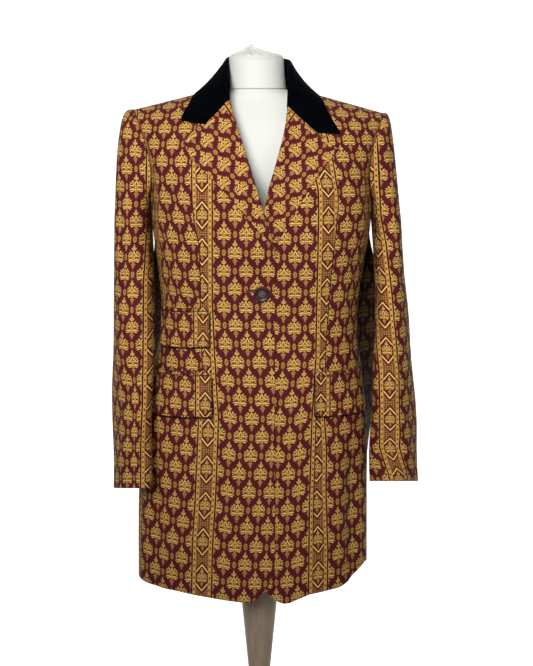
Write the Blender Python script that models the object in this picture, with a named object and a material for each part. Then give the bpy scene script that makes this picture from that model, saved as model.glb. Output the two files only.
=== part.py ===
"""A long single-button blazer on a limbless dress form stand, as solids in metres.

Frame: +Z is up, the front faces -Y, the wearer's right is at -X and the floor is z = 0.
Each cut or sewn piece is a thin wall on one shared surface, so neighbours meet at their seams.
"""

import bpy
import numpy as np

# Thickness of the cloth, and the gaps that keep pieces apart
CLOTH = 0.0016
VELVET = 0.0020
SEAM_GAP = 0.0005
LAID_GAP = 0.0009
ARMHOLE_GAP = 0.0009

# Heights
HEM = 0.614
ARMPIT = 1.222
SHOULDER_TIP = 1.3615
BREAK = 1.159

# Shoulders and armholes
TIP_REACH = 0.192
SHOULDER_SLOPE = 0.26
SHOULDER_TILT = 0.014
NECK_RISE = 0.012
NECK_RISE_WIDE = 0.075
DOME = 2.2
ARMHOLE_DEPTH = 0.555
LEVEL_ARMPIT = 0.754
RIDGE_LEVEL = 0.9997
NECK_REACH = 0.055
SEAM_TURN = np.radians(38)
SLEEVE_SEAM = 0.011
ARMHOLE_STEPS = np.linspace(0, 1, 11)[1:]
HEAD_CORNER = {-1: 0.219, 1: 0.208}
SLEEVE_SQUARE = 2.6
CUFF_SLOPE = 0.29
CUFF_STARTS = 0.92

# Hem, and the round corners of the fronts as width and height
HEM_TILT = 0.035
HEM_WAVE = 0.016
WAVE_STARTS = 0.98
CORNER_RIGHT = (0.050, 0.075)
CORNER_LEFT = (0.058, 0.120)

# Button, neck and stand
BUTTON_AT = (0.0053, 1.0924)
BUTTON_RADIUS = 0.0124
BUTTON_THICK = 0.0036
BUTTON_HOLE = 0.0011
BUTTON_SPREAD = 0.0029
BUTTON_GAP = 0.0006
BASE_RADIUS = 0.19
BASE_THICK = 0.020
NECK_CAP_LOW = 1.3950
NECK_GAP = 0.0004
NECK_FOOT = 0.0440
NECK_RADIUS = 0.0435
NECK_BACK = 0.0430
PEAK_AT = -0.0100
PEAK_STARTS = 1.4440
PEAK_HIGH = 0.014


def named(names, rows):
    """A short table as one array for each named column."""
    return dict(zip(names.split(), np.array(rows, float).T))


# The jacket's outside from hem to armpit: each row is a section across the body
BODY = named("height centre half front back square", [
    (0.600, -0.0105, 0.1870, 0.1300, 0.1320, 2.50),
    (0.760, -0.0100, 0.1850, 0.1310, 0.1320, 2.50),
    (0.880, -0.0080, 0.1810, 0.1300, 0.1280, 2.50),
    (0.960, -0.0030, 0.1660, 0.1240, 0.1130, 2.50),
    (1.020, 0.0000, 0.1565, 0.1175, 0.1010, 2.50),
    (1.060, 0.0015, 0.1560, 0.1175, 0.0990, 2.55),
    (1.130, 0.0030, 0.1630, 0.1260, 0.1040, 2.65),
    (1.190, 0.0040, 0.1710, 0.1325, 0.1110, 2.75),
    (1.222, 0.0040, 0.1720, 0.1325, 0.1120, 2.80),
])

# How much wider than its section the back hangs behind each side seam
BACK_HANG = named("height right left", [
    (0.600, 0.0000, 0.0000), (0.780, 0.0000, 0.0080), (0.870, 0.0040, 0.0220), (0.950, 0.0180, 0.0330),
    (1.030, 0.0280, 0.0400), (1.110, 0.0220, 0.0300), (1.180, 0.0050, 0.0070), (1.222, 0.0000, 0.0000),
])
HANG_AT = 0.30

# Front edge and roll line, as the distance from the centre towards the panel's own side
EDGE_RIGHT = named("height across", [
    (0.60, -0.0248), (1.150, -0.0248), (BREAK, -0.0242), (1.376, 0.0428), (1.410, 0.0540),
])
EDGE_LEFT = named("height across", [
    (0.60, -0.0150), (1.120, -0.0150), (1.160, -0.0095), (1.219, 0.0083),
    (1.270, 0.0235), (1.322, 0.0371), (1.366, 0.0440), (1.410, 0.0540),
])

# Sleeves below the armhole: reach is out from the centre, turn swings the front edge inwards
SLEEVE_RIGHT = named("height reach depth half_wide half_deep turn", [
    (1.190, 0.1985, 0.004, 0.0285, 0.0640, 0),
    (1.120, 0.1975, -0.005, 0.0276, 0.0620, 4),
    (1.040, 0.1970, -0.028, 0.0249, 0.0600, 10),
    (0.950, 0.1970, -0.064, 0.0212, 0.0575, 17),
    (0.860, 0.1970, -0.086, 0.0192, 0.0550, 20),
    (0.781, 0.1970, -0.092, 0.0189, 0.0530, 20),
])
SLEEVE_LEFT = named("height reach depth half_wide half_deep turn", [
    (1.190, 0.2010, 0.004, 0.0225, 0.0640, 0),
    (1.120, 0.2050, -0.003, 0.0229, 0.0620, 4),
    (1.040, 0.2095, -0.020, 0.0242, 0.0600, 10),
    (0.950, 0.2110, -0.038, 0.0275, 0.0575, 16),
    (0.860, 0.2123, -0.049, 0.0314, 0.0555, 20),
    (0.781, 0.2123, -0.054, 0.0310, 0.0535, 22),
])

# Lapels: points of the roll line and of the outer edge from the break up to the tip
LAPEL_RIGHT = named("part roll_x roll_z edge_x edge_z", [
    (0.00, 0.0222, 1.1670, 0.0150, 1.1735),
    (0.18, 0.0115, 1.2010, -0.0080, 1.1965),
    (0.38, -0.0010, 1.2410, -0.0344, 1.2270),
    (0.60, -0.0148, 1.2850, -0.0660, 1.2610),
    (0.85, -0.0320, 1.3400, -0.0985, 1.2925),
    (1.00, -0.0426, 1.3740, -0.1110, 1.3150),
])
LAPEL_LEFT = named("part roll_x roll_z edge_x edge_z", [
    (0.00, 0.0125, 1.1680, 0.0285, 1.1700),
    (0.20, 0.0075, 1.1960, 0.0430, 1.1960),
    (0.40, 0.0150, 1.2420, 0.0640, 1.2310),
    (0.60, 0.0268, 1.2840, 0.0800, 1.2560),
    (0.85, 0.0395, 1.3360, 0.1010, 1.2850),
    (1.00, 0.0430, 1.3640, 0.1195, 1.3050),
])
NOTCH_RIGHT = (-0.0875, 1.3405)
NOTCH_LEFT = (0.0880, 1.3240)
NOTCH_SHARE = 0.6

# Collar: the fold along its top, and the outer edge that lies over the shoulders
COLLAR_FOLD = named("along x y z", [
    (0.00, 0.0435, -0.0855, 1.3790),
    (0.22, 0.0480, -0.0490, 1.4070),
    (0.42, 0.0512, -0.0080, 1.4340),
    (0.58, 0.0490, 0.0290, 1.4430),
    (0.78, 0.0330, 0.0550, 1.4460),
    (1.00, 0.0000, 0.0660, 1.4470),
])
COLLAR_EDGE = named("along reach turn", [
    (0.00, 0.1220, 57), (0.25, 0.1045, 79), (0.42, 0.0930, 93),
    (0.60, 0.0750, 112), (0.80, 0.0430, 130), (1.00, 0.0000, 137),
])
COLLAR_POINT_RIGHT = (-0.1156, 1.3462)
COLLAR_POINT_LEFT = (0.1212, 1.3265)
COLLAR_NOTCH_RIGHT = (-0.0862, 1.3450)
COLLAR_NOTCH_LEFT = (0.0866, 1.3290)
STAND_HIGH = 0.042
STAND_FOOT = 1.4040
COLLAR_GAP = 0.0009
COLLAR_TILT = 0.0045
COLLAR_BEND = 0.6
LIP_FRONT = 0.0030
LIP_MORE = 0.0032

# Pocket flaps: corners at the top, how far the lower edge is below it, and how far the outside stands off
FLAPS = {
    "flap_ticket_right": (-0.1500, 1.0560, -0.0748, 1.0635, 0.0540, 0.0031),
    "flap_right": (-0.1585, 0.9600, -0.0715, 0.9655, 0.0620, 0.0026),
    "flap_left": (0.0871, 0.9641, 0.1600, 0.9590, 0.0610, 0.0030),
}
FLAP_CORNER = 0.007
WELT_HIGH = 0.0065

# Dress form: sections from its flat underside to the shoulders, then the neck's cap as shares of its radius
FORM = named("height centre half front back square", [
    (0.800, -0.004, 0.140, 0.092, 0.094, 2.3),
    (0.815, -0.004, 0.152, 0.102, 0.104, 2.3),
    (0.880, -0.004, 0.160, 0.110, 0.110, 2.3),
    (0.950, -0.002, 0.152, 0.104, 0.098, 2.3),
    (1.040, 0.000, 0.138, 0.094, 0.080, 2.3),
    (1.130, 0.001, 0.144, 0.104, 0.084, 2.3),
    (1.200, 0.002, 0.154, 0.112, 0.090, 2.4),
    (1.260, 0.002, 0.158, 0.102, 0.088, 2.5),
    (1.310, 0.002, 0.160, 0.088, 0.082, 2.5),
    (1.345, 0.001, 0.154, 0.074, 0.072, 2.4),
])
SHOULDERS = named("height limit front back square", [
    (1.356, 0.139, 0.0660, 0.0600, 2.1),
    (1.366, 0.129, 0.0590, 0.0520, 1.9),
    (1.376, 0.119, 0.0520, 0.0440, 1.7),
    (1.384, 0.111, 0.0475, 0.0340, 1.6),
    (1.390, 0.056, 0.0450, 0.0290, 1.6),
])
FORM_LEVELS = np.concatenate([[0.8, 0.806, 0.815], np.arange(0.84, 1.29, 0.04), [1.31, 1.33, 1.345]])
FORM_CLEAR = 0.0007
CAP = named("height share", [
    (NECK_CAP_LOW, 1.0), (1.412, 0.985), (1.430, 0.985), (1.4415, 0.995), (1.4440, 0.985),
    (1.4465, 0.90), (1.4500, 0.62), (1.4540, 0.34), (1.4590, 0.15), (1.4635, 0.05),
])
POST = named("height radius", [
    (BASE_THICK + 0.0003, 0.0240), (0.0320, 0.0240), (0.0420, 0.0165), (0.4300, 0.0165),
    (0.4400, 0.0180), (0.6200, 0.0350), (0.7800, 0.0480), (0.7997, 0.0480),
])


def smooth(at, knots, values):
    """Cubic curve through the knots, with slopes from their neighbours."""
    slopes = np.gradient(values, knots)
    at = np.clip(at, knots[0], knots[-1])
    low = np.clip(np.searchsorted(knots, at, side="right") - 1, 0, len(knots) - 2)
    step = knots[low + 1] - knots[low]
    part = (at - knots[low]) / step
    rest = 1 - part
    ends = (1 + 2 * part) * rest**2 * values[low] + part**2 * (3 - 2 * part) * values[low + 1]
    leans = part * rest**2 * slopes[low] - part**2 * rest * slopes[low + 1]
    return ends + step * leans


def column(table, name, at, key="height"):
    """One named column of a table at these heights."""
    return smooth(np.asarray(at, float), table[key], table[name])


def ease(part):
    """A soft step from 0 to 1."""
    part = np.clip(part, 0, 1)
    return part * part * (3 - 2 * part)


def ridge_height(reach):
    """Height of the shoulder ridge at a signed distance from the centre."""
    away = np.abs(reach)
    rise = NECK_RISE * (1 - ease(away / NECK_RISE_WIDE))
    return SHOULDER_TIP + SHOULDER_SLOPE * (TIP_REACH - away) - SHOULDER_TILT * reach + rise


def tip_section():
    """Half width at armpit height of the column that ends at the shoulder tip."""
    square = BODY["square"][-1]
    return BODY["half"][-1] * (1 - ARMHOLE_DEPTH**square) ** (1 / square)


FLARE = TIP_REACH / tip_section() - 1


def hem_wave(phi, z):
    """Share by which the skirt swells and falls in, growing towards the hem."""
    fade = ease((WAVE_STARTS - z) / (WAVE_STARTS - HEM)) ** 1.5
    return 1 + HEM_WAVE * fade * (0.55 * np.sin(5 * phi + 0.7) + 0.45 * np.sin(8 * phi - 1.0))


def hem_height(phi):
    return HEM + HEM_TILT * 0.18 * np.sin(phi)


def level_of_rise(w):
    """Level of a share of the way up from the armpit to the ridge."""
    return LEVEL_ARMPIT + (1 - LEVEL_ARMPIT) * np.arcsin(np.clip(w, 0, 1) ** (DOME / 2)) / (np.pi / 2)


def rise_of_level(level):
    turn = np.clip((level - LEVEL_ARMPIT) / (1 - LEVEL_ARMPIT), 0, 1) * np.pi / 2
    return np.sin(turn) ** (2 / DOME), np.clip(np.cos(turn), 0, 1) ** (2 / DOME)


def back_hang(phi, z):
    """How far the back swings out behind the side seam: a hump that is widest a third of the way round."""
    way = np.clip((np.arccos(np.cos(phi)) - np.pi / 2) / (np.pi / 2), 0, 1)
    hump = ease(way / HANG_AT) * (1 - ease((way - HANG_AT) / (1 - HANG_AT)))
    sine = np.sin(phi)
    most = np.where(sine < 0, column(BACK_HANG, "right", z), column(BACK_HANG, "left", z))
    return np.sign(sine) * np.maximum(most, 0) * hump


def body(phi, level):
    """The jacket's outside: phi goes round from the centre front to +X, level from hem (0) to ridge (1)."""
    phi, level = np.broadcast_arrays(np.asarray(phi, float), np.asarray(level, float))
    low = hem_height(phi)
    z_low = low + (ARMPIT - low) * np.minimum(level / LEVEL_ARMPIT, 1)
    w, dome = rise_of_level(level)
    half, square = column(BODY, "half", z_low), column(BODY, "square", z_low)
    cosine, sine = np.cos(phi), np.sin(phi)
    reach = (np.abs(cosine) ** square + np.abs(sine) ** square) ** (-1 / square) * hem_wave(phi, z_low)
    deep = np.where(cosine > 0, column(BODY, "front", z_low), column(BODY, "back", z_low))
    across = half * reach * sine
    x = column(BODY, "centre", z_low) * (1 - w) + across * (1 + FLARE * w**2) + back_hang(phi, z_low)
    y = -deep * reach * cosine * dome
    z = z_low + w * (ridge_height(across * (1 + FLARE)) - ARMPIT)
    return np.stack([x, y, z], axis=-1)


def phi_of_share(share, square):
    """Angle of the section's point at a share of its half width."""
    share = np.clip(share, -0.9999, 0.9999)
    return np.arctan2(share, (1 - np.abs(share) ** square) ** (1 / square))


def front_place(x, z):
    """Angle and level of the front's point that shows at x, z."""
    x, z = np.broadcast_arrays(np.asarray(x, float), np.asarray(z, float))
    at = np.minimum(z, ARMPIT)
    half, square = column(BODY, "half", at), column(BODY, "square", at)
    across = x.copy()
    swell = np.ones_like(across)
    for _ in range(25):
        w = np.clip((z - ARMPIT) / (ridge_height(across * (1 + FLARE)) - ARMPIT), 0, 1)
        across = (x - column(BODY, "centre", at) * (1 - w)) / (1 + FLARE * w**2)
        phi = phi_of_share(across / (half * swell), square)
        swell = hem_wave(phi, z)
    low = hem_height(phi)
    level_low = LEVEL_ARMPIT * (z - low) / (ARMPIT - low)
    return phi, np.where(z > ARMPIT, level_of_rise(w), level_low)


def unit(vectors):
    return vectors / np.maximum(np.linalg.norm(vectors, axis=-1, keepdims=True), 1e-12)


def normals(grid, outward):
    """Unit normals of a grid of points, on the side that outward points to."""
    normal = unit(np.cross(np.gradient(grid, axis=0), np.gradient(grid, axis=1)))
    return -normal if np.sum(normal * outward) < 0 else normal


def body_normal(phi, level):
    """Unit normal of the jacket's outside, the same for every piece that meets there."""
    step = 1e-4
    below, above = np.maximum(level - step, 0), np.minimum(level + step, 1)
    round_way = body(phi + step, level) - body(phi - step, level)
    up_way = body(phi, above) - body(phi, below)
    return unit(np.cross(round_way, up_way))


def lap_lift(x, z):
    """How far the right front stands off the shared surface, to lie over the left front and its lapel."""
    over = ease((x + 0.095) / 0.06)
    lapel = ease((z - 1.120) / 0.03) * ease((1.30 - z) / 0.05) * ease((x + 0.06) / 0.05)
    return over * (CLOTH + LAID_GAP) + lapel * (CLOTH + LAID_GAP + 0.0017)


def front_points(x, z, side, lift):
    """Points at x, z on the outside of a front, moved out by the lift."""
    phi, level = front_place(x, z)
    base = lap_lift(x, z) if side < 0 else 0.0
    return body(phi, level) + body_normal(phi, level) * (base + lift)[..., None]


def armhole(w, side, behind):
    """Angle and level of the armhole seam at a share of its height."""
    square = BODY["square"][-1]
    deep = ARMHOLE_DEPTH * np.sqrt(1 - (1 - w) ** 5)
    phi = np.arctan2((1 - deep**square) ** (1 / square), deep)
    return side * np.where(behind, np.pi - phi, phi), np.minimum(level_of_rise(w), RIDGE_LEVEL)


def top_of_columns(part, tip_part, first_reach):
    """Angle and level where columns end: the shoulder up to tip_part, then the armhole down to the side."""
    square = BODY["square"][-1]
    shoulder = np.clip(part / tip_part, 0, 1)
    reach = first_reach + (TIP_REACH - first_reach) * shoulder
    phi = phi_of_share(reach / (1 + FLARE) / BODY["half"][-1], square)
    w = (1 + np.cos(np.pi * np.clip((part - tip_part) / (1 - tip_part), 0, 1))) / 2
    hole_phi, hole_level = armhole(w, 1, False)
    after = part > tip_part
    return np.where(after, hole_phi, phi), np.where(after, hole_level, RIDGE_LEVEL)


def edge_phi(table, level, side):
    """Angle of the front edge or roll line at each level, towards the panel's own side."""
    w, _ = rise_of_level(level)
    z_low = HEM + (ARMPIT - HEM) * np.minimum(level / LEVEL_ARMPIT, 1)
    z = z_low + w * (ridge_height(0.05) - ARMPIT)
    across = np.interp(z, table["height"], table["across"])
    across = (across - side * column(BODY, "centre", z_low) * (1 - w)) / (1 + FLARE * w**2)
    return phi_of_share(across / column(BODY, "half", z_low), column(BODY, "square", z_low))


def front_panel(side, table, corner_wide, corner_high, rows):
    """Angles and levels of a front from its edge to the side seam, and from the hem to the shoulder."""
    near_edge = [0, 0.015, 0.045, 0.09]
    part = np.concatenate([near_edge, np.linspace(0.16, 0.5, 5), ARMHOLE_STEPS / 2 + 0.5])[:, None]
    row = np.linspace(0, 1, rows)[None, :]
    last = np.pi / 2 - SEAM_GAP / 0.26
    top_phi, top_level = top_of_columns(part, 0.5, NECK_REACH)
    top_phi = np.minimum(top_phi, last)
    first_top = edge_phi(table, np.array([[RIDGE_LEVEL]]), side)
    tip_phi = top_phi[part <= 0.5].max()
    stretch = (tip_phi - first_top) / (tip_phi - top_phi[0])
    top_phi = np.where(part <= 0.5, first_top + (top_phi - top_phi[0]) * stretch, top_phi)
    hem_edge = edge_phi(table, np.zeros((1, 1)), side)
    hem_phi = hem_edge + (last - hem_edge) * part
    hem_x = side * body(side * hem_phi, 0.0)[..., 0]
    short = np.clip(1 - (hem_x - hem_x[0]) / corner_wide, 0, 1)
    start = corner_high * (1 - np.sqrt(1 - short**2)) * LEVEL_ARMPIT / (ARMPIT - HEM)
    level = start + (top_level - start) * row
    first = edge_phi(table, level[:1], side)
    blend = ease((row - 0.35) / 0.65)
    share = (1 - blend) * part + blend * (top_phi - first_top) / (last - first_top)
    return side * (first + (last - first) * share), level + 0 * part


def back_panel(rows):
    """Angles and levels of the back, from side seam to side seam."""
    neck_part, tip_part = 0.17, 0.56
    half = np.concatenate([[neck_part / 2, neck_part], np.linspace(neck_part, tip_part, 5)[1:],
                           tip_part + (1 - tip_part) * ARMHOLE_STEPS])
    signed = np.concatenate([-half[::-1], [0], half])[:, None]
    part = np.abs(signed)
    row = np.linspace(0, 1, rows)[None, :]
    last = np.pi / 2 - SEAM_GAP / 0.22
    phi_after, level_after = top_of_columns(np.maximum(part - neck_part, 0) / (1 - neck_part),
                                            (tip_part - neck_part) / (1 - neck_part), NECK_REACH)
    neck = np.clip(part / neck_part, 0, 1)
    phi_neck = phi_of_share(NECK_REACH * neck / (1 + FLARE) / BODY["half"][-1], BODY["square"][-1])
    level_neck = LEVEL_ARMPIT + (1 - LEVEL_ARMPIT) * (0.72 + 0.28 * neck**2.5) * 0.9988
    in_neck = part <= neck_part
    top_phi = np.minimum(np.where(in_neck, phi_neck, phi_after), last)
    top_level = np.where(in_neck, level_neck, level_after)
    blend = ease((row - 0.35) / 0.65)
    even = np.linspace(-1, 1, len(signed))[:, None] * last
    phi = (1 - blend) * even + blend * np.sign(signed) * top_phi
    return np.pi - phi, top_level * row


def sleeve_section(sigma, square):
    """Shares of a sleeve's half width and half depth at each angle of a superellipse."""
    cosine, sine = np.cos(sigma), np.sin(sigma)
    reach = (np.abs(cosine) ** square + np.abs(sine) ** square) ** (-1 / square)
    return cosine * reach, sine * reach


def sleeve_grid(side, table, sigma, head_rings, arm_rings):
    """Grid of part of a sleeve: sigma goes round from the armpit side to the front, outside and back."""
    sigma = np.asarray(sigma, float)
    along = (1 - np.cos(sigma)) / 2
    hole = body(*armhole(along, side, sigma > np.pi))
    hole = np.where((sigma < 0)[:, None], body(*armhole(along, side, np.ones_like(along, bool))), hole)
    hole[:, 0] *= side
    pit = hole_end(side, 0.0) + np.array([ARMHOLE_GAP, 0.0])
    tip = hole_end(side, 1.0) + np.array([ARMHOLE_GAP, 0.0])
    first = {name: values[0] for name, values in table.items()}
    inner = np.array([first["reach"] - first["half_wide"], first["height"]])
    outer = np.array([first["reach"] + first["half_wide"], first["height"]])
    corner = HEAD_CORNER[side]
    rings = []
    for part in np.linspace(0, 1, head_rings, endpoint=False):
        turn = part * np.pi / 2
        low = pit + (inner - pit) * part
        drop = 1 - np.sqrt(np.cos(turn))
        high_x = tip[0] + (corner - tip[0]) * np.sqrt(np.sin(turn)) + (outer[0] - corner) * drop**1.3
        high = np.array([high_x, tip[1] + (outer[1] - tip[1]) * drop])
        inward, forward = sleeve_section(sigma, 2 + (SLEEVE_SQUARE - 2) * ease(part))
        line = low + (high - low) * (1 - inward[:, None]) / 2
        bow = (hole[:, 0] + ARMHOLE_GAP - (pit[0] + (tip[0] - pit[0]) * along)) * (1 - part) ** 2
        lift = (hole[:, 2] - (pit[1] + (tip[1] - pit[1]) * along)) * (1 - part) ** 2
        round_ring = first["depth"] - first["half_deep"] * forward
        depth = hole[:, 1] * (1 - ease(part)) + round_ring * ease(part)
        rings.append(np.stack([side * (line[:, 0] + bow), depth, line[:, 1] + lift], axis=-1))
    for part in np.linspace(0, 1, arm_rings):
        height = table["height"][0] + (table["height"][-1] - table["height"][0]) * part
        rings.append(sleeve_ring(side, table, sigma, height))
    return np.stack(rings, axis=1)


def hole_end(side, w):
    """Outward distance and height of the armhole seam's lowest or highest point."""
    end = body(*armhole(np.array([w]), side, np.array([False])))[0]
    return np.array([side * end[0], end[2]])


def sleeve_ring(side, table, sigma, height):
    """One ring of a sleeve: level, but higher in front near the cuff."""
    rising = table["height"][::-1]
    row = {name: smooth(np.array(height), rising, values[::-1]) for name, values in table.items()}
    turn = np.radians(row["turn"])
    folds = 1 + 0.03 * np.sin(3 * sigma + 38 * height) * ease((1.15 - height) / 0.2)
    inward, forward = sleeve_section(sigma, SLEEVE_SQUARE)
    inward, forward = row["half_wide"] * inward * folds, row["half_deep"] * forward * folds
    x = side * (row["reach"] - inward * np.cos(turn) - forward * np.sin(turn))
    y = row["depth"] + inward * np.sin(turn) - forward * np.cos(turn)
    slope = CUFF_SLOPE * ease((CUFF_STARTS - height) / (CUFF_STARTS - rising[0]))
    return np.stack([x, y, height - slope * (y - row["depth"])], axis=-1)


def lapel_grid(side, table, notch, along, across):
    """Grid of a lapel from its roll line to its edge; its last row is the gorge and the notch's lower side."""
    s = np.linspace(0, 1, along)[:, None]
    q = np.linspace(0, 1, across)[None, :]
    roll_x, roll_z = (column(table, name, s, "part") for name in ("roll_x", "roll_z"))
    edge_x, edge_z = (column(table, name, s, "part") for name in ("edge_x", "edge_z"))
    x = roll_x + (edge_x - roll_x) * q
    z = roll_z + (edge_z - roll_z) * q
    hat = np.minimum(q / NOTCH_SHARE, (1 - q) / (1 - NOTCH_SHARE)) * ease((s - 0.72) / 0.28)
    x = x + hat * (notch[0] - (roll_x[-1] + (edge_x[-1] - roll_x[-1]) * NOTCH_SHARE))
    z = z + hat * (notch[1] - (roll_z[-1] + (edge_z[-1] - roll_z[-1]) * NOTCH_SHARE))
    rolled = 0.0022 * (1 - q) ** 3 * ease(s / 0.3)
    return front_points(x, z, side, LAID_GAP + CLOTH + rolled)


def yoke(side, reach, turn, lift):
    """A point over the shoulder: turn is 0 at the front's armpit height, 90 on the ridge, 180 at the back."""
    level = LEVEL_ARMPIT + (1 - LEVEL_ARMPIT) * np.minimum(turn, 180 - turn) / 90
    level = np.minimum(level, RIDGE_LEVEL)
    phi = phi_of_share(reach / (1 + FLARE) / BODY["half"][-1], BODY["square"][-1])
    phi = side * np.where(turn > 90, np.pi - phi, phi)
    return body(phi, level) + body_normal(phi, level) * np.asarray(lift)[..., None]


def yoke_place(point):
    """Reach and turn of the front's point that shows at x, z."""
    phi, level = front_place(np.array([point[0]]), np.array([point[1]]))
    square = BODY["square"][-1]
    sine, cosine = np.abs(np.sin(phi)), np.abs(np.cos(phi))
    share = sine * (cosine**square + sine**square) ** (-1 / square)
    return share[0] * BODY["half"][-1] * (1 + FLARE), 90 * (level[0] - LEVEL_ARMPIT) / (1 - LEVEL_ARMPIT)


def collar_half(side, along, across, point, notch):
    """Half of the collar from its front end to the centre back: stand, fold and fall."""
    u = np.linspace(0, 1, along)
    start = 1 - ease(u / 0.40)
    fold_x, fold_y, fold_z = (column(COLLAR_FOLD, name, u, "along") for name in ("x", "y", "z"))
    fold = np.stack([side * fold_x, fold_y, fold_z - side * COLLAR_TILT * (1 - u)], axis=-1)
    reach, turn = (column(COLLAR_EDGE, name, u, "along") for name in ("reach", "turn"))
    tip_reach, tip_turn = yoke_place(point)
    reach = reach + (tip_reach - reach[0]) * start
    turn = turn + (tip_turn - turn[0]) * start
    lap = np.full(along, (CLOTH + LAID_GAP) * (side < 0)) * 0.4
    lift = COLLAR_GAP + VELVET + lap
    edge = yoke(side, reach, turn, lift)
    notch_reach, notch_turn = yoke_place(notch)
    flat_reach, flat_turn = reach + notch_reach - tip_reach, turn + notch_turn - tip_turn
    flat = yoke(side, flat_reach, flat_turn, lift + 0.0006)
    outward = unit((fold - [0.0, 0.005, 0.0]) * [1, 1, 0])
    up = np.array([0.0, 0.0, 1.0])
    free = 0.42 * fold + 0.58 * edge + (0.5 * outward + 0.8 * up) * 0.008
    front = (1 - ease(u / 0.30))[:, None]
    middle = front * flat + (1 - front) * free
    high = np.clip(fold[:, 2] - STAND_FOOT, 0.0035, STAND_HIGH)[:, None]
    lip = LIP_FRONT + LIP_MORE * ease(u / 0.25)[:, None]
    rows = [fold - outward * lip - up * high,
            fold - outward * lip - up * 0.6 * high,
            fold - outward * 0.94 * lip - up * np.minimum(0.3 * high, 0.0040),
            fold - outward * 0.52 * lip - up * 0.0006,
            fold - up * 0.0006]
    bend = COLLAR_BEND
    for v in np.linspace(0, 1, across)[1:]:
        bent = np.where(v < bend, fold + (middle - fold) * v / bend,
                        middle + (edge - middle) * (v - bend) / (1 - bend))
        first = (v - bend) * (v - 1) / bend
        second = v * (v - 1) / (bend * (bend - 1))
        third = v * (v - bend) / (1 - bend)
        rows.append(front * bent + (1 - front) * (first * fold + second * middle + third * edge))
    return np.stack(rows, axis=1)


def flap_grid(name, high_from, high_to, round_corners, columns, rows):
    """Grid of a flap, or of its welt, from points of the front moved out."""
    x0, z0, x1, z1, _, lift = FLAPS[name]
    side = -1 if x0 < 0 else 1
    part = np.linspace(0, 1, columns)[:, None]
    row = np.linspace(0, 1, rows)[None, :]
    x = x0 + (x1 - x0) * part + 0 * row
    top = z0 + (z1 - z0) * part
    wide = abs(x1 - x0)
    near = np.minimum(part, 1 - part) * wide
    cut = np.clip(1 - near / FLAP_CORNER, 0, 1)
    bottom = high_to + (FLAP_CORNER * (1 - np.sqrt(1 - cut**2)) if round_corners else 0)
    z = top + high_from + (bottom - high_from) * row
    return front_points(x, z, side, np.full(x.shape, lift))


def add_mesh(name, points, faces, colour, rough, metal=0.0):
    """A mesh object with its own material, its faces turned to point outwards."""
    points = np.asarray(points, float).reshape(-1, 3)
    volume = 0.0
    for face in faces:
        for i in range(1, len(face) - 1):
            volume += np.dot(points[face[0]], np.cross(points[face[i]], points[face[i + 1]]))
    if volume < 0:
        faces = [tuple(reversed(face)) for face in faces]
    mesh = bpy.data.meshes.new(name)
    mesh.from_pydata([tuple(point) for point in points], [], faces)
    obj = bpy.data.objects.new(name, mesh)
    bpy.context.scene.collection.objects.link(obj)
    material = bpy.data.materials.new(name)
    material.use_nodes = True
    shader = material.node_tree.nodes["Principled BSDF"]
    shader.inputs["Base Color"].default_value = (*colour, 1.0)
    shader.inputs["Roughness"].default_value = rough
    shader.inputs["Metallic"].default_value = metal
    mesh.materials.append(material)
    return obj


def wall(name, outer, thick, normal, colour, rough=0.8):
    """A closed wall: the grid, the grid moved in by the thickness, and rims that join them."""
    inner = outer - normal * thick
    n, m = outer.shape[:2]
    at = np.arange(n * m).reshape(n, m)
    under = at + n * m
    faces = []
    for i in range(n - 1):
        for j in range(m - 1):
            faces.append((at[i, j], at[i + 1, j], at[i + 1, j + 1], at[i, j + 1]))
            faces.append((under[i, j], under[i, j + 1], under[i + 1, j + 1], under[i + 1, j]))
    for i in range(n - 1):
        faces.append((at[i, 0], under[i, 0], under[i + 1, 0], at[i + 1, 0]))
        faces.append((at[i, m - 1], at[i + 1, m - 1], under[i + 1, m - 1], under[i, m - 1]))
    for j in range(m - 1):
        faces.append((at[0, j], at[0, j + 1], under[0, j + 1], under[0, j]))
        faces.append((at[n - 1, j], under[n - 1, j], under[n - 1, j + 1], at[n - 1, j + 1]))
    faces = [tuple(int(i) for i in face) for face in faces]
    points = np.concatenate([outer.reshape(-1, 3), inner.reshape(-1, 3)])
    return add_mesh(name, points, faces, colour, rough)


def stacked(name, rings, colour, rough, metal=0.0):
    """A closed solid from rings of equal count, with flat ends."""
    rings = np.asarray(rings, float)
    n, m = rings.shape[:2]
    faces = [tuple(range(m)), tuple(range((n - 1) * m, n * m))[::-1]]
    for i in range(n - 1):
        for j in range(m):
            k = (j + 1) % m
            faces.append((i * m + j, (i + 1) * m + j, (i + 1) * m + k, i * m + k))
    return add_mesh(name, rings, faces, colour, rough, metal)


def round_rings(radii, heights, count, centre=(0.0, 0.0)):
    """Level circles, one for each radius and height."""
    angle = np.linspace(0, 2 * np.pi, count, endpoint=False)
    rings = []
    for radius, height in zip(radii, heights):
        x, y = centre[0] + radius * np.cos(angle), centre[1] + radius * np.sin(angle)
        rings.append(np.stack([x, y, np.full(count, height)], axis=-1))
    return rings


def oval(height, left, right, front, back, square, count):
    """A level ring that reaches left, right, front and back."""
    angle = np.linspace(0, 2 * np.pi, count, endpoint=False)
    cosine, sine = np.cos(angle), np.sin(angle)
    reach = (np.abs(cosine) ** square + np.abs(sine) ** square) ** (-1 / square)
    x = np.where(cosine > 0, right, left) * cosine * reach
    y = np.where(sine > 0, back, front) * sine * reach
    return np.stack([x, y, np.full(count, height)], axis=-1)


def shoulder_reach(height, side):
    """How far out the form's shoulder may come at this height, just under the cloth."""
    spare = SHOULDER_TIP + SHOULDER_SLOPE * TIP_REACH - (height + CLOTH * 1.05 + FORM_CLEAR)
    return spare / (SHOULDER_SLOPE + side * SHOULDER_TILT)


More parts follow.
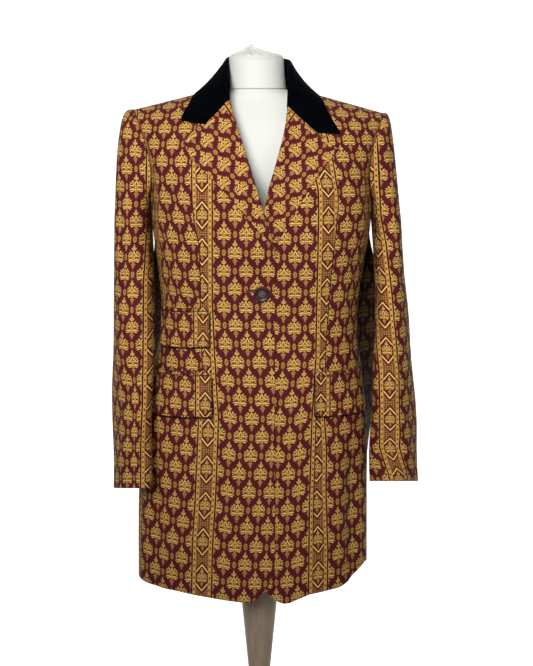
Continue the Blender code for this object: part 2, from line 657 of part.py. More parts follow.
def build_form():
    """Dress form, neck and cap, post and base."""
    cream = (0.80, 0.78, 0.73)
    count = 30
    rings = []
    for height in FORM_LEVELS:
        row = {name: column(FORM, name, height) for name in FORM}
        rings.append(oval(height, row["half"] - row["centre"], row["half"] + row["centre"],
                          row["front"], row["back"], row["square"], count))
    for row in zip(*SHOULDERS.values()):
        height, limit, front, back, square = row
        left, right = (min(shoulder_reach(height, side), limit) for side in (-1, 1))
        rings.append(oval(height, left, right, front, back, square, count))
    rings.append(oval(NECK_CAP_LOW - NECK_GAP, NECK_FOOT, NECK_FOOT, NECK_RADIUS, NECK_BACK, 2.0, count))
    stacked("form_torso", rings, cream, 0.9)
    rings = []
    for height, share in zip(*CAP.values()):
        wide, back = NECK_RADIUS * share, NECK_BACK * share
        lean = PEAK_AT * ease((height - PEAK_STARTS) / PEAK_HIGH)
        rings.append(oval(height, wide, wide, wide, back, 2.0, 22) + [lean, 0, 0])
    stacked("form_neck_cap", rings, cream, 0.9)
    stacked("stand_post", round_rings(POST["radius"], POST["height"], 24), (0.42, 0.39, 0.35), 0.6)
    radii = (BASE_RADIUS - 0.002, BASE_RADIUS, BASE_RADIUS, BASE_RADIUS - 0.003, BASE_RADIUS - 0.020)
    heights = (0.0, 0.002, BASE_THICK - 0.008, BASE_THICK - 0.003, BASE_THICK)
    stacked("stand_base", round_rings(radii, heights, 40), (0.42, 0.39, 0.35), 0.6)


def build_button():
    """A four-hole button on the right front, its face along the cloth's normal."""
    place = front_place(np.array(BUTTON_AT[:1]), np.array(BUTTON_AT[1:]))
    axis = body_normal(*place)[0]
    side = unit(np.cross(np.array([0.0, 0.0, 1.0]), axis))
    up = np.cross(axis, side)
    centre = body(*place)[0] + axis * (lap_lift(*BUTTON_AT) + BUTTON_GAP)

    def at(rings):
        return [centre + ring[:, :1] * side + ring[:, 1:2] * up + ring[:, 2:] * axis for ring in rings]

    radii = np.array([0.80, 0.97, 1.0, 0.95, 0.84, 0.74, 0.62]) * BUTTON_RADIUS
    heights = np.array([0.0, 0.25, 0.55, 0.92, 1.0, 0.90, 0.70]) * BUTTON_THICK
    button = stacked("button", at(round_rings(radii, heights, 22)), (0.12, 0.06, 0.035), 0.35)
    points, faces = [], []
    for turn in np.radians([45, 135, 225, 315]):
        start = len(points)
        place = (BUTTON_SPREAD * np.cos(turn), BUTTON_SPREAD * np.sin(turn))
        rings = at(round_rings([BUTTON_HOLE] * 2, [-0.002, BUTTON_THICK + 0.002], 8, place))
        points.extend(np.concatenate(rings))
        faces += [tuple(range(start, start + 8))[::-1], tuple(range(start + 8, start + 16))]
        faces += [(start + j, start + (j + 1) % 8, start + 8 + (j + 1) % 8, start + 8 + j) for j in range(8)]
    cutter = add_mesh("button_hole_cutter", points, faces, (0.1, 0.1, 0.1), 0.5)
    cutter.hide_render = True
    cutter.display_type = "WIRE"
    holes = button.modifiers.new("holes", "BOOLEAN")
    holes.operation = "DIFFERENCE"
    holes.solver = "EXACT"
    holes.object = cutter


def build_jacket():
    """Every cut and sewn piece of the blazer."""
    print_colour = (0.36, 0.17, 0.07)
    velvet_colour = (0.006, 0.006, 0.009)
    away = np.array([0.0, -1.0, 0.0])
    panels = {"front_right": front_panel(-1, EDGE_RIGHT, *CORNER_RIGHT, 29),
              "front_left": front_panel(1, EDGE_LEFT, *CORNER_LEFT, 29),
              "back": back_panel(25)}
    for name, place in panels.items():
        grid, normal = body(*place), body_normal(*place)
        if name == "front_right":
            grid = grid + normal * lap_lift(grid[..., 0], grid[..., 2])[..., None]
        wall(name, grid, CLOTH, normal, print_colour)
    for word, side, table in (("right", -1, SLEEVE_RIGHT), ("left", 1, SLEEVE_LEFT)):
        top = np.linspace(SEAM_TURN, 2 * np.pi - SEAM_TURN, 15)
        top[[0, -1]] += [SLEEVE_SEAM, -SLEEVE_SEAM]
        under = np.linspace(-SEAM_TURN, SEAM_TURN, 7)
        for half, sigma in (("top", top), ("under", under)):
            grid = sleeve_grid(side, table, sigma, 7, 16)
            before, after = (sleeve_grid(side, table, sigma + step, 7, 16) for step in (-1e-4, 1e-4))
            normal = -side * unit(np.cross(after - before, np.gradient(grid, axis=1)))
            wall(f"sleeve_{word}_{half}", grid, CLOTH, normal, print_colour)
    lapels = (("right", -1, LAPEL_RIGHT, NOTCH_RIGHT), ("left", 1, LAPEL_LEFT, NOTCH_LEFT))
    for word, side, table, notch in lapels:
        grid = lapel_grid(side, table, notch, 12, 6)
        wall(f"lapel_{word}", grid, CLOTH, normals(grid, away), print_colour)
    halves = [collar_half(-1, 14, 6, COLLAR_POINT_RIGHT, COLLAR_NOTCH_RIGHT),
              collar_half(1, 14, 6, COLLAR_POINT_LEFT, COLLAR_NOTCH_LEFT)]
    collar = np.concatenate([halves[0], halves[1][::-1][1:]])
    outward = np.zeros_like(collar)
    outward[:, 6:] = [0, 0, 1]
    wall("collar", collar, VELVET, normals(collar, outward), velvet_colour, 0.95)
    for name, (_, _, _, _, deep, _) in FLAPS.items():
        grid = flap_grid(name, -0.0005, -deep, True, 13, 5)
        wall(name, grid, CLOTH, normals(grid, away), print_colour)
        welt = flap_grid(name, WELT_HIGH, 0.0005, False, 11, 3)
        wall(name.replace("flap", "welt"), welt, CLOTH, normals(welt, away), print_colour)
    build_button()


def main():
    for obj in list(bpy.data.objects):
        bpy.data.objects.remove(obj)
    build_form()
    build_jacket()


main()
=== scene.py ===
"""The looks of a long single-button blazer in a palmette print, on its dress form stand.

Every piece is a surface worked out on a grid, in metres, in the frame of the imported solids:
+Z is up, the front faces -Y and the wearer's right is at -X.
"""

import bpy
import numpy as np
from bpy.props import FloatProperty, FloatVectorProperty, PointerProperty
from bpy.types import Operator, Panel, PropertyGroup
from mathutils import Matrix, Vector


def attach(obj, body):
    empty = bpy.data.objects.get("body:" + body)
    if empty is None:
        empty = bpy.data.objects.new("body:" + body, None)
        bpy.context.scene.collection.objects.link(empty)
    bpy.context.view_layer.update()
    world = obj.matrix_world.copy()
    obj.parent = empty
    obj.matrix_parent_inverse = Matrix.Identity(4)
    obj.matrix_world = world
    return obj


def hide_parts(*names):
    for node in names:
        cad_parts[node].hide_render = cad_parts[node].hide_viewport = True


bl_info = {
    "name": "Palmette Blazer",
    "version": (1, 0, 0),
    "blender": (4, 5, 0),
    "location": "View3D > Sidebar > Blazer",
    "description": "Dresses the solids of a long blazer and its dress form stand",
    "category": "Add Mesh",
}

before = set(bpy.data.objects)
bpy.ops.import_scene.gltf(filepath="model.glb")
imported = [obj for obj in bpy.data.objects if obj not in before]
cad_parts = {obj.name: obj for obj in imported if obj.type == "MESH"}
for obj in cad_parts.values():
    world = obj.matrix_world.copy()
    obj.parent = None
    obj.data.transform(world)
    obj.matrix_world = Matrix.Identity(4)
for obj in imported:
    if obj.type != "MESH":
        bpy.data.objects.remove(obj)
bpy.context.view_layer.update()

# Thickness of the cloth, and the gaps that keep pieces apart
CLOTH = 0.0016
VELVET = 0.002
SEAM_GAP = 0.0005
LAID_GAP = 0.0009
ARMHOLE_GAP = 0.0009

# The wearer's two sides, and which way along X each lies
SIDES = (("right", -1), ("left", 1))

# Heights
HEM = 0.614
ARMPIT = 1.222
SHOULDER_TIP = 1.3615
BREAK = 1.159

# Shoulders, armholes and sleeves
TIP_REACH = 0.192
SHOULDER_SLOPE = 0.26
SHOULDER_TILT = 0.014
NECK_RISE = 0.012
NECK_RISE_WIDE = 0.075
DOME = 2.2
ARMHOLE_DEPTH = 0.555
LEVEL_ARMPIT = 0.754
RIDGE_LEVEL = 0.9997
NECK_REACH = 0.055
EDGE_REACH = 0.05
ARMHOLE_ROUND = 5
SEAM_TURN = np.radians(38)
SLEEVE_SEAM = 0.011
HEAD_CORNER = {-1: 0.219, 1: 0.208}
HEAD_SOFT = 1.3
SLEEVE_SQUARE = 2.6
CUFF_SLOPE = 0.29
CUFF_STARTS = 0.92

# Soft folds round the sleeves: their height, their number, how fast they wind down, and where they set in
FOLD_HIGH = 0.03
FOLD_COUNT = 3
FOLD_TWIST = 38
FOLD_FROM = (1.15, 0.95)

# Hem: its tilt to the wearer's left, and the waves that grow down to it
HEM_TILT = 0.0063
HEM_WAVE = 0.016
WAVE_STARTS = 0.98

# Button, neck and stand
BUTTON_RADIUS = 0.0124
BUTTON_THICK = 0.0036
BUTTON_HOLE = 0.0011
BUTTON_SPREAD = 0.0029
BUTTON_GAP = 0.0006
BUTTON_AT = (0.0053, 1.0924)
BUTTONHOLE_AT = (-0.0075, 1.0965)
BUTTONHOLE_LONG = 0.0215
BASE_RADIUS = 0.19
BASE_THICK = 0.02
BASE_EDGE = 0.006
BASE_MIDDLE = 0.02
NECK_CAP_LOW = 1.395
NECK_RADIUS = 0.0435
NECK_SEAM = 0.0044
NECK_ASIDE = 0.002
NECK_LEAN = 0.0018
# The arc on the neck's front above which the painted shade band lies: its lowest height and its curve
RIM_LOW = 1.4363
RIM_CURVE = 3.8
PEAK_AT = -0.0075
CONE_STARTS = 1.4415
NECK_BACK = 0.043
CAP_PLEATS = 17
CAP_PLEAT_HIGH = 0.0011
PEAK_STARTS = 1.444
PEAK_HIGH = 0.014


def named(names, rows):
    """A short table as one array for each named column."""
    return dict(zip(names.split(), np.array(rows, float).T))


def both_sides(names, right, left):
    """Two tables with the same columns, by side: -1 is the wearer's right and 1 the left."""
    return {-1: named(names, right), 1: named(names, left)}


# The jacket's outside from hem to armpit: each row is a section across the body
BODY = named("height centre half front back square", [
    (0.6, -0.0105, 0.187, 0.13, 0.132, 2.5),
    (0.76, -0.01, 0.185, 0.131, 0.132, 2.5),
    (0.88, -0.008, 0.181, 0.13, 0.128, 2.5),
    (0.96, -0.003, 0.166, 0.124, 0.113, 2.5),
    (1.02, 0.0, 0.1565, 0.1175, 0.101, 2.5),
    (1.06, 0.0015, 0.156, 0.1175, 0.099, 2.55),
    (1.13, 0.003, 0.163, 0.126, 0.104, 2.65),
    (1.19, 0.004, 0.171, 0.1325, 0.111, 2.75),
    (1.222, 0.004, 0.172, 0.1325, 0.112, 2.8),
])

# How far the hem rises above its mean height, at angles from the centre front towards the wearer's left
HEM_LINE = named("angle rise", [
    (-180, 0.0), (-90, 0.01), (-37, 0.0085), (-29, 0.006), (-17, 0.0), (0, -0.008), (10, -0.009),
    (15, -0.011), (18, -0.01), (22, -0.005), (27, 0.0), (44, 0.002), (51, 0.006), (56, 0.014),
    (61, 0.021), (68, 0.026), (90, 0.012), (180, 0.0),
])

# How much wider than its section the back hangs behind each side seam
BACK_HANG = named("height right left", [
    (0.6, 0.0, 0.0), (0.78, 0.0, 0.008), (0.87, 0.004, 0.022), (0.95, 0.018, 0.0345),
    (1.03, 0.028, 0.0445), (1.11, 0.022, 0.0345), (1.18, 0.005, 0.007), (1.222, 0.0, 0.0),
])
HANG_AT = 0.3

# The arms' shade on the back: its strength, the shares of the way round where it fades out, and the heights
# over which it sets in above the hem and ends below the armpit
ARM_SHADE = 0.85
ARM_SHADE_ROUND = (0.22, 0.34)
ARM_SHADE_LOW = (0.8, 0.86)
ARM_SHADE_HIGH = (ARMPIT, ARMPIT - 0.04)

# Front edge and roll line, as the distance from the centre towards the panel's own side
EDGE = both_sides("height across", [
    (0.6, -0.0248), (1.15, -0.0248), (BREAK, -0.0242), (1.376, 0.0428), (1.41, 0.054),
], [
    (0.6, -0.015), (1.12, -0.015), (1.16, -0.0095), (1.219, 0.0083),
    (1.27, 0.0235), (1.322, 0.0371), (1.366, 0.044), (1.41, 0.054),
])
EDGE_TUCK = 0.004
EDGE_TUCK_AT = (BREAK + 0.006, BREAK + 0.036)

# Where the right front lifts off to lie over the left front, and more over the lower end of its lapel
LAP_FROM = (-0.095, -0.035)
LAP_LAPEL_FROM = (-0.06, -0.01)
LAP_LAPEL_LOW = (1.12, 1.15)
LAP_LAPEL_HIGH = (1.3, 1.25)
LAP_LAPEL_LIFT = 0.0017

# Grids of the panels: width and height of the fronts' round corners, where the columns reach the corner, the
# neck and the shoulder tip, and where the rows start to lean towards the shoulder
CORNER = {-1: (0.05, 0.075), 1: (0.058, 0.12)}
FRONT_CORNER = 0.24
FRONT_TIP = 0.5
FRONT_COLUMNS = (26, 30, 58)
FRONT_ROWS = 170
BACK_NECK = 0.17
BACK_TIP = 0.56
BACK_COLUMNS = (12, 28, 36)
BACK_ROWS = 150
BACK_NECK_LEVEL = 0.72
BACK_NECK_TOP = 0.9988
PANEL_LEAN = (0.35, 1.0)
SIDE_GAP_FRONT = SEAM_GAP / 0.26
SIDE_GAP_BACK = SEAM_GAP / 0.22

# Sleeves below the armhole: reach is out from the centre, turn swings the front edge inwards
SLEEVE = both_sides("height reach depth half_wide half_deep turn", [
    (1.19, 0.1985, 0.004, 0.0285, 0.064, 0),
    (1.12, 0.1975, -0.005, 0.0318, 0.062, 4),
    (1.04, 0.197, -0.028, 0.032, 0.06, 10),
    (0.95, 0.197, -0.064, 0.0288, 0.0575, 17),
    (0.86, 0.197, -0.086, 0.026, 0.055, 20),
    (0.781, 0.197, -0.092, 0.0262, 0.053, 20),
], [
    (1.19, 0.201, 0.004, 0.0225, 0.064, 0),
    (1.12, 0.206, -0.003, 0.0235, 0.062, 4),
    (1.04, 0.211, -0.02, 0.0258, 0.06, 10),
    (0.95, 0.212, -0.038, 0.0285, 0.0575, 16),
    (0.86, 0.2138, -0.049, 0.0335, 0.0555, 20),
    (0.781, 0.215, -0.054, 0.0345, 0.0535, 22),
])

# Lapels: points of the roll line and of the outer edge from the break up to the tip
LAPEL = both_sides("part roll_x roll_z edge_x edge_z", [
    (0.0, 0.0222, 1.167, 0.015, 1.1735),
    (0.18, 0.0115, 1.201, -0.008, 1.1965),
    (0.38, -0.001, 1.241, -0.0344, 1.227),
    (0.6, -0.0148, 1.285, -0.066, 1.261),
    (0.85, -0.032, 1.34, -0.0985, 1.2925),
    (1.0, -0.0426, 1.374, -0.111, 1.315),
], [
    (0.0, 0.0125, 1.168, 0.0285, 1.17),
    (0.2, 0.0075, 1.196, 0.043, 1.196),
    (0.4, 0.015, 1.242, 0.064, 1.231),
    (0.6, 0.0268, 1.284, 0.08, 1.256),
    (0.85, 0.0395, 1.336, 0.101, 1.285),
    (1.0, 0.043, 1.364, 0.1195, 1.305),
])
NOTCH = {-1: (-0.0875, 1.3405), 1: (0.088, 1.324)}
NOTCH_SHARE = 0.6
NOTCH_FROM = 0.72
LAPEL_TUCK = 0.002
LAPEL_ROLL = 0.0022
ROLL_GAP = 0.0004
ROLL_TURN = np.radians(200)

# Collar: the fold along its top, and the outer edge that lies over the shoulders
COLLAR_FOLD = named("along x y z", [
    (0.0, 0.0435, -0.0855, 1.3739),
    (0.22, 0.048, -0.049, 1.407),
    (0.42, 0.0512, -0.008, 1.434),
    (0.58, 0.049, 0.029, 1.443),
    (0.78, 0.033, 0.055, 1.446),
    (1.0, 0.0, 0.066, 1.447),
])
COLLAR_EDGE = named("along reach turn", [
    (0.0, 0.122, 57), (0.25, 0.1045, 79), (0.42, 0.093, 93),
    (0.6, 0.075, 112), (0.8, 0.043, 130), (1.0, 0.0, 137),
])
COLLAR_POINT = {-1: (-0.1156, 1.3462), 1: (0.1212, 1.3265)}
COLLAR_NOTCH = {-1: (-0.0782, 1.3401), 1: (0.0866, 1.329)}
STAND_HIGH = 0.042
STAND_FOOT = 1.404
COLLAR_GAP = 0.0009
COLLAR_TILT = 0.0056
COLLAR_TRIM = {-1: 0.006, 1: 0.012}
COLLAR_SWELL = 0.001
COLLAR_BEND = 0.6
COLLAR_LIP = (0.003, 0.0032)
COLLAR_FOLD_DROP = 0.0006
COLLAR_MIDDLE = 0.58

# Pocket flaps: corners at the top, how far the lower edge is below it, how far the outside stands off,
# and where the print's band line and the middle of its hourglass fall
FLAPS = {
    "ticket_right": dict(x0=-0.15, z0=1.056, x1=-0.0748, z1=1.0635, deep=0.054, lift=0.0031,
                         line=-0.0994, middle=1.0382, way=1),
    "right": dict(x0=-0.1585, z0=0.96, x1=-0.0715, z1=0.9655, deep=0.062, lift=0.0026,
                  line=-0.0969, middle=0.9478, way=1),
    "left": dict(x0=0.0871, z0=0.9641, x1=0.16, z1=0.959, deep=0.061, lift=0.003,
                 line=0.11, middle=0.9438, way=-1),
}
FLAP_CORNER = 0.007
FLAP_GAP = 0.0005
FLAP_CURL = 0.0018
WELT_HIGH = 0.0065
WELT_CUT = 0.011
WELT_SHIFT = 0.3

# Dress form: sections from its flat underside to the shoulders, then the neck's cap as shares of its radius
FORM = named("height centre half front back square", [
    (0.8, -0.004, 0.14, 0.092, 0.094, 2.3),
    (0.815, -0.004, 0.152, 0.102, 0.104, 2.3),
    (0.88, -0.004, 0.16, 0.11, 0.11, 2.3),
    (0.95, -0.002, 0.152, 0.104, 0.098, 2.3),
    (1.04, 0.0, 0.138, 0.094, 0.08, 2.3),
    (1.13, 0.001, 0.144, 0.07, 0.084, 2.3),
    (1.2, 0.002, 0.154, 0.064, 0.09, 2.4),
    (1.26, 0.002, 0.158, 0.092, 0.088, 2.5),
    (1.31, 0.002, 0.16, 0.088, 0.082, 2.5),
    (1.345, 0.001, 0.154, 0.074, 0.072, 2.4),
])
SHOULDERS = named("height limit front back square", [
    (1.356, 0.139, 0.066, 0.06, 2.1),
    (1.366, 0.129, 0.059, 0.052, 1.9),
    (1.376, 0.119, 0.052, 0.044, 1.7),
    (1.384, 0.111, 0.0475, 0.034, 1.6),
    (1.39, 0.056, 0.045, 0.029, 1.6),
])
FORM_CLEAR = 0.0012
CAP = named("height share", [
    (NECK_CAP_LOW, 1.02), (1.412, 1.0), (1.43, 0.975), (1.4415, 0.965), (1.444, 0.95),
    (1.4465, 0.88), (1.45, 0.62), (1.454, 0.34), (1.459, 0.15), (1.4635, 0.05),
])
POST = named("height radius", [
    (BASE_THICK + 0.0003, 0.024), (0.032, 0.024), (0.042, 0.0165), (0.43, 0.0165),
    (0.44, 0.018), (0.62, 0.035), (0.78, 0.048), (0.7997, 0.048),
])

# Where the band's line nearest the centre runs on each front, and how much cloth the dart beside it eats
BAND = both_sides("height across", [
    (0.6, 0.0735), (0.704, 0.0701), (0.767, 0.0655), (0.845, 0.0619), (0.9, 0.0597),
    (0.944, 0.0624), (1.003, 0.0658), (1.075, 0.0685), (1.21, 0.0668), (1.29, 0.0668), (1.341, 0.0603),
    (1.377, 0.0553), (1.42, 0.05),
], [
    (0.6, 0.0766), (0.762, 0.0772), (0.896, 0.0802), (0.99, 0.0863), (1.21, 0.0882), (1.246, 0.0876),
    (1.264, 0.0835), (1.291, 0.079), (1.377, 0.06), (1.42, 0.05),
])
DART = both_sides("height eats more lifts", [
    (0.6, 0, 0, 0), (0.905, 0, 0, 0), (0.955, 0.0114, 0.016, -0.006), (1.075, 0.013, 0.0155, -0.006),
    (1.097, 0.0135, 0.009, -0.0088), (1.1635, 0.0123, 0.007, -0.0088), (1.1783, 0.0084, 0.0072, -0.0075),
    (1.1932, 0.0053, 0.0075, -0.006), (1.2244, 0.0018, 0.004, -0.004), (1.25, 0, 0, -0.002),
    (1.42, 0, 0, 0),
], [
    (0.6, 0, 0, 0), (0.685, 0, 0, 0), (0.8, 0.0055, 0, 0), (0.845, 0.006, 0, 0), (0.905, 0.0115, 0, 0),
    (0.99, 0.0166, 0, 0.0183), (1.12, 0.01, 0, 0.0183), (1.231, 0, 0, 0.014), (1.42, 0, 0, 0.012),
])
DART_TURNS = 0.93
DART_LOW_AT = 0.0075

# Below a height the skirt hangs towards the viewer, so the print's rows lie further apart
# than its height says
PRINT_EVEN = 1.2
PRINT_LOSES = {-1: 0.02, 1: 0.0054}
PRINT_LOSES_MORE = 0.0575

# Below the pockets the print's rows rise towards the side seams
SWAY_STARTS = 0.985
SWAY_FADE = 0.06
SWAY = {-1: 0.0058, 1: 0.0073}
SWAY_FROM = -0.038
SWAY_WIDE = 0.05

# How much a step in depth counts in the print's width, where a row of it falls on each front, and how many
# columns past a band's line the middle of the back lies
PRINT_DEPTH_SHARE = 0.75
PRINT_ROW = {-1: 1.2099, 1: 1.094}
BACK_PRINT_COLUMNS = 2.5

# Print on each lapel: where a palmette's middle falls, its squeeze across and along, and its column
LAPEL_LEAN = np.radians(36.5)
LAPEL_PRINT = {
    -1: ((-0.075, 1.3176), (1.0, 0.78), 1.5),
    1: ((0.0533, 1.3291), (0.93, 0.742), 0.5),
}

# Where the band's outer line runs on each sleeve, as the distance from the centre
SLEEVE_BAND = both_sides("height across", [
    (0.778, 0.181), (0.86, 0.18), (0.925, 0.1772), (1.1, 0.1785), (1.2, 0.173), (1.27, 0.1715),
    (1.36, 0.168),
], [
    (0.778, 0.236), (0.81, 0.2301), (0.85, 0.219), (0.97, 0.2171), (1.02, 0.2119), (1.085, 0.2059),
    (1.157, 0.1973), (1.203, 0.1886), (1.36, 0.178),
])

# How much a step in depth counts in the sleeves' print, over which turn that ends, and where its rows start
SLEEVE_DEPTH_SHARE = 0.45
SLEEVE_SIDE = np.radians(15)
SLEEVE_TURN = np.radians(65)
HEAD_LEVELS = 0.9
SLEEVE_STARTS = {-1: -0.0228, 1: 0.0222}

# Soft pleats down the right sleeve take in a little of its print, over a width that starts at a distance out
PLEATS = named("height takes at wide", [
    (0.7, 0.0125, 0.18, 0.018), (0.935, 0.0125, 0.178, 0.018), (0.985, 0.003, 0.18, 0.016),
    (1.03, 0, 0.19, 0.014), (1.1, 0.0058, 0.194, 0.014), (1.25, 0.0058, 0.194, 0.014),
    (1.29, 0, 0.194, 0.014),
])

# Creases: a line across the piece, half its width, and its height, which is negative for a trough
CREASES_FRONT = named("x0 z0 x1 z1 wide deep", [
    (0.112, 1.262, 0.15, 1.196, 0.006, -0.0022),
    (0.124, 1.272, 0.156, 1.214, 0.0055, 0.002),
    (0.098, 1.245, 0.132, 1.176, 0.009, -0.0018),
    (0.146, 0.86, 0.15, 0.6, 0.011, -0.006),
    (0.122, 0.84, 0.124, 0.6, 0.012, 0.003),
    (-0.16, 0.8, -0.166, 0.6, 0.009, -0.004),
    (-0.128, 1.3, -0.124, 1.18, 0.014, -0.0028),
    (-0.02, 0.86, -0.024, 0.64, 0.018, -0.002),
    (0.04, 0.88, 0.046, 0.62, 0.02, -0.0022),
    (-0.1, 0.86, -0.104, 0.6, 0.017, 0.0022),
    (-0.01, 1.075, -0.072, 1.05, 0.009, -0.0014),
    (0.018, 1.07, 0.082, 1.038, 0.01, -0.0016),
    (-0.14, 1.03, -0.09, 1.012, 0.008, -0.0013),
    (0.094, 1.03, 0.142, 1.01, 0.008, -0.0014),
])
CREASES_BACK = named("x0 z0 x1 z1 wide deep", [
    (-0.11, 1.3, -0.136, 1.18, 0.011, -0.0026),
    (0.108, 1.29, 0.138, 1.19, 0.01, -0.0028),
    (-0.04, 1.06, -0.12, 1.04, 0.009, -0.002),
    (0.03, 1.045, 0.118, 1.025, 0.01, -0.0022),
    (-0.03, 1.1, 0.05, 1.108, 0.009, -0.0016),
    (-0.092, 0.9, -0.104, 0.6, 0.018, -0.0045),
    (0.066, 0.88, 0.078, 0.6, 0.02, -0.005),
    (-0.01, 0.86, -0.014, 0.62, 0.022, 0.003),
    (0.136, 0.85, 0.14, 0.61, 0.015, 0.0028),
])
CREASES_SLEEVE = both_sides("x0 z0 x1 z1 wide deep", [
    (0.15, 1.345, 0.146, 1.215, 0.006, -0.0015),
    (0.13, 1.335, 0.126, 1.24, 0.007, 0.0008),
    (0.06, 1.02, 0.125, 1.046, 0.007, -0.0024),
    (0.066, 0.985, 0.12, 0.99, 0.008, 0.0018),
    (0.07, 0.955, 0.13, 0.948, 0.007, -0.002),
    (0.106, 1.28, 0.102, 1.06, 0.006, -0.0022),
    (0.18, 1.08, 0.215, 1.02, 0.01, -0.0026),
    (0.11, 0.9, 0.094, 0.8, 0.011, -0.002),
], [
    (0.11, 1.34, 0.118, 1.22, 0.007, -0.002),
    (0.074, 1.2, 0.104, 1.13, 0.008, -0.0026),
    (0.06, 1.16, 0.088, 1.09, 0.008, 0.002),
    (0.06, 1.03, 0.12, 1.052, 0.007, -0.0022),
    (0.07, 0.99, 0.128, 0.985, 0.008, -0.0024),
    (0.082, 0.9, 0.12, 0.82, 0.009, -0.003),
    (0.11, 0.88, 0.142, 0.8, 0.009, 0.0022),
    (0.19, 1.06, 0.22, 1.0, 0.01, -0.0026),
])
SLEEVE_ROUND = 0.05
CREASE_FADE = 0.46


def paint(red, green, blue):
    """A screen colour, 0 to 255, as linear light."""
    levels = np.array([red, green, blue]) / 255
    linear = np.where(levels <= 0.04045, levels / 12.92, ((levels + 0.055) / 1.055) ** 2.4)
    return tuple(float(level) for level in linear)


def colour_property(name, what, screen):
    """A colour as a setting, given as it looks on screen."""
    return FloatVectorProperty(name=name, description=what, subtype="COLOR", size=3, min=0, max=1,
                               default=paint(*screen))


def power_property(name, what, watts):
    """A light's power as a setting."""
    return FloatProperty(name=name, description=what, unit="POWER", default=watts)


def length_property(name, what, metres):
    """A length as a setting."""
    return FloatProperty(name=name, description=what, unit="LENGTH", precision=5, default=metres)


class BlazerCloth(PropertyGroup):
    """Repeat and colours of the printed cloth."""
    repeat_wide: length_property("Repeat width", "From one palmette to the next in a row", 0.0332)
    repeat_high: length_property("Repeat height", "From one palmette to the next in a column", 0.0541)
    ground: colour_property("Ground", "Maroon between the palmettes", (79, 20, 29))
    dark: colour_property("Dark", "Thin dark lines", (46, 6, 15))
    brown: colour_property("Brown", "Gaps and shading in the palmettes", (94, 44, 19))
    light_gold: colour_property("Light gold", "Arches and curled leaves", (228, 191, 105))
    gold: colour_property("Gold", "Fans, leaves and stripes", (190, 145, 74))
    deep_gold: colour_property("Deep gold", "Ovals and hearts", (160, 116, 54))
    olive: colour_property("Olive", "Buds", (174, 143, 72))
    stalk: colour_property("Stalk", "Stalks and their leaflets", (146, 102, 58))
    stem: colour_property("Stem", "Pink-brown middle of the stalks", (156, 90, 60))
    mauve: colour_property("Mauve", "Hourglass grounds in the bands", (128, 74, 48))
    reverse: colour_property("Reverse", "Wrong side of the cloth", (96, 44, 40))


class BlazerTrim(PropertyGroup):
    """Colours of the collar, button and sewing."""
    velvet: colour_property("Velvet", "Black velvet of the collar", (2, 3, 5))
    horn: colour_property("Horn", "Brown of the button", (72, 46, 38))
    horn_dark: colour_property("Dark horn", "Dark mottles of the button", (20, 12, 12))
    horn_pale: colour_property("Pale horn", "Pale middle of the button", (140, 118, 104))
    thread: colour_property("Thread", "Buttonhole and button thread", (70, 20, 34))


class BlazerForm(PropertyGroup):
    """Colours of the dress form and its stand."""
    jersey: colour_property("Jersey", "Cover of the dress form", (204, 205, 198))
    stand: colour_property("Stand", "Paint of the post and base", (158, 138, 116))
    stand_worn: colour_property("Worn paint", "Darker streaks in the paint", (132, 116, 97))


class BlazerStage(PropertyGroup):
    """Camera, light and backdrop."""
    camera_at: FloatVectorProperty(name="Camera", description="Place of the camera", subtype="TRANSLATION",
                                   default=(0.012, -2.0, 1.36))
    camera_down: FloatProperty(name="Tilt", description="How far the camera looks down", subtype="ANGLE",
                               default=np.radians(9.9))
    lens: FloatProperty(name="Lens", description="Focal length", unit="CAMERA", default=68.43)
    backdrop: colour_property("Backdrop", "Floor and backdrop", (200, 200, 200))
    key_watts: power_property("Key light", "Power of the large light above the camera", 9.7)
    fill_watts: power_property("Fill light", "Power of the light at the right", 13)
    back_watts: power_property("Back light", "Power of the light behind", 8)


def smooth(at, knots, values):
    """Cubic curve through the knots, with slopes from their neighbours; each value may be a whole array."""
    slopes = np.gradient(values, knots, axis=0)
    at = np.clip(at, knots[0], knots[-1])
    low = np.clip(np.searchsorted(knots, at, side="right") - 1, 0, len(knots) - 2)
    step = knots[low + 1] - knots[low]
    part = (at - knots[low]) / step
    extra = (1,) * (values.ndim - 1)
    step, part = step.reshape(step.shape + extra), part.reshape(part.shape + extra)
    rest = 1 - part
    ends = (1 + 2 * part) * rest**2 * values[low] + part**2 * (3 - 2 * part) * values[low + 1]
    leans = part * rest**2 * slopes[low] - part**2 * rest * slopes[low + 1]
    return ends + step * leans


def column(table, name, at, key="height"):
    """One named column of a table at these heights."""
    return smooth(np.asarray(at, float), table[key], table[name])


def ease(part):
    """A soft step from 0 to 1."""
    part = np.clip(part, 0, 1)
    return part * part * (3 - 2 * part)


def ramp(at, ends):
    """A soft step from 0 at the first end to 1 at the second."""
    start, end = ends
    return ease((at - start) / (end - start))


def superellipse(cosine, sine, square):
    """How far a superellipse of half width 1 reaches in a direction."""
    return (np.abs(cosine) ** square + np.abs(sine) ** square) ** (-1 / square)


def unit(vectors):
    """Each vector brought to length 1."""
    return vectors / np.maximum(np.linalg.norm(vectors, axis=-1, keepdims=True), 1e-12)


def grid_normal(grid):
    """Unit normals of a grid, from its steps both ways."""
    return unit(np.cross(np.gradient(grid, axis=0), np.gradient(grid, axis=1)))


def stretches(knots, counts):
    """Even steps from knot to knot, with a count of points for each stretch, and each knot once."""
    rows = zip(knots[:-1], knots[1:], counts)
    return np.concatenate([knots[:1], *(np.linspace(low, high, count)[1:] for low, high, count in rows)])


def all_round(count):
    """Even angles once round."""
    return np.linspace(0, 2 * np.pi, count, endpoint=False)


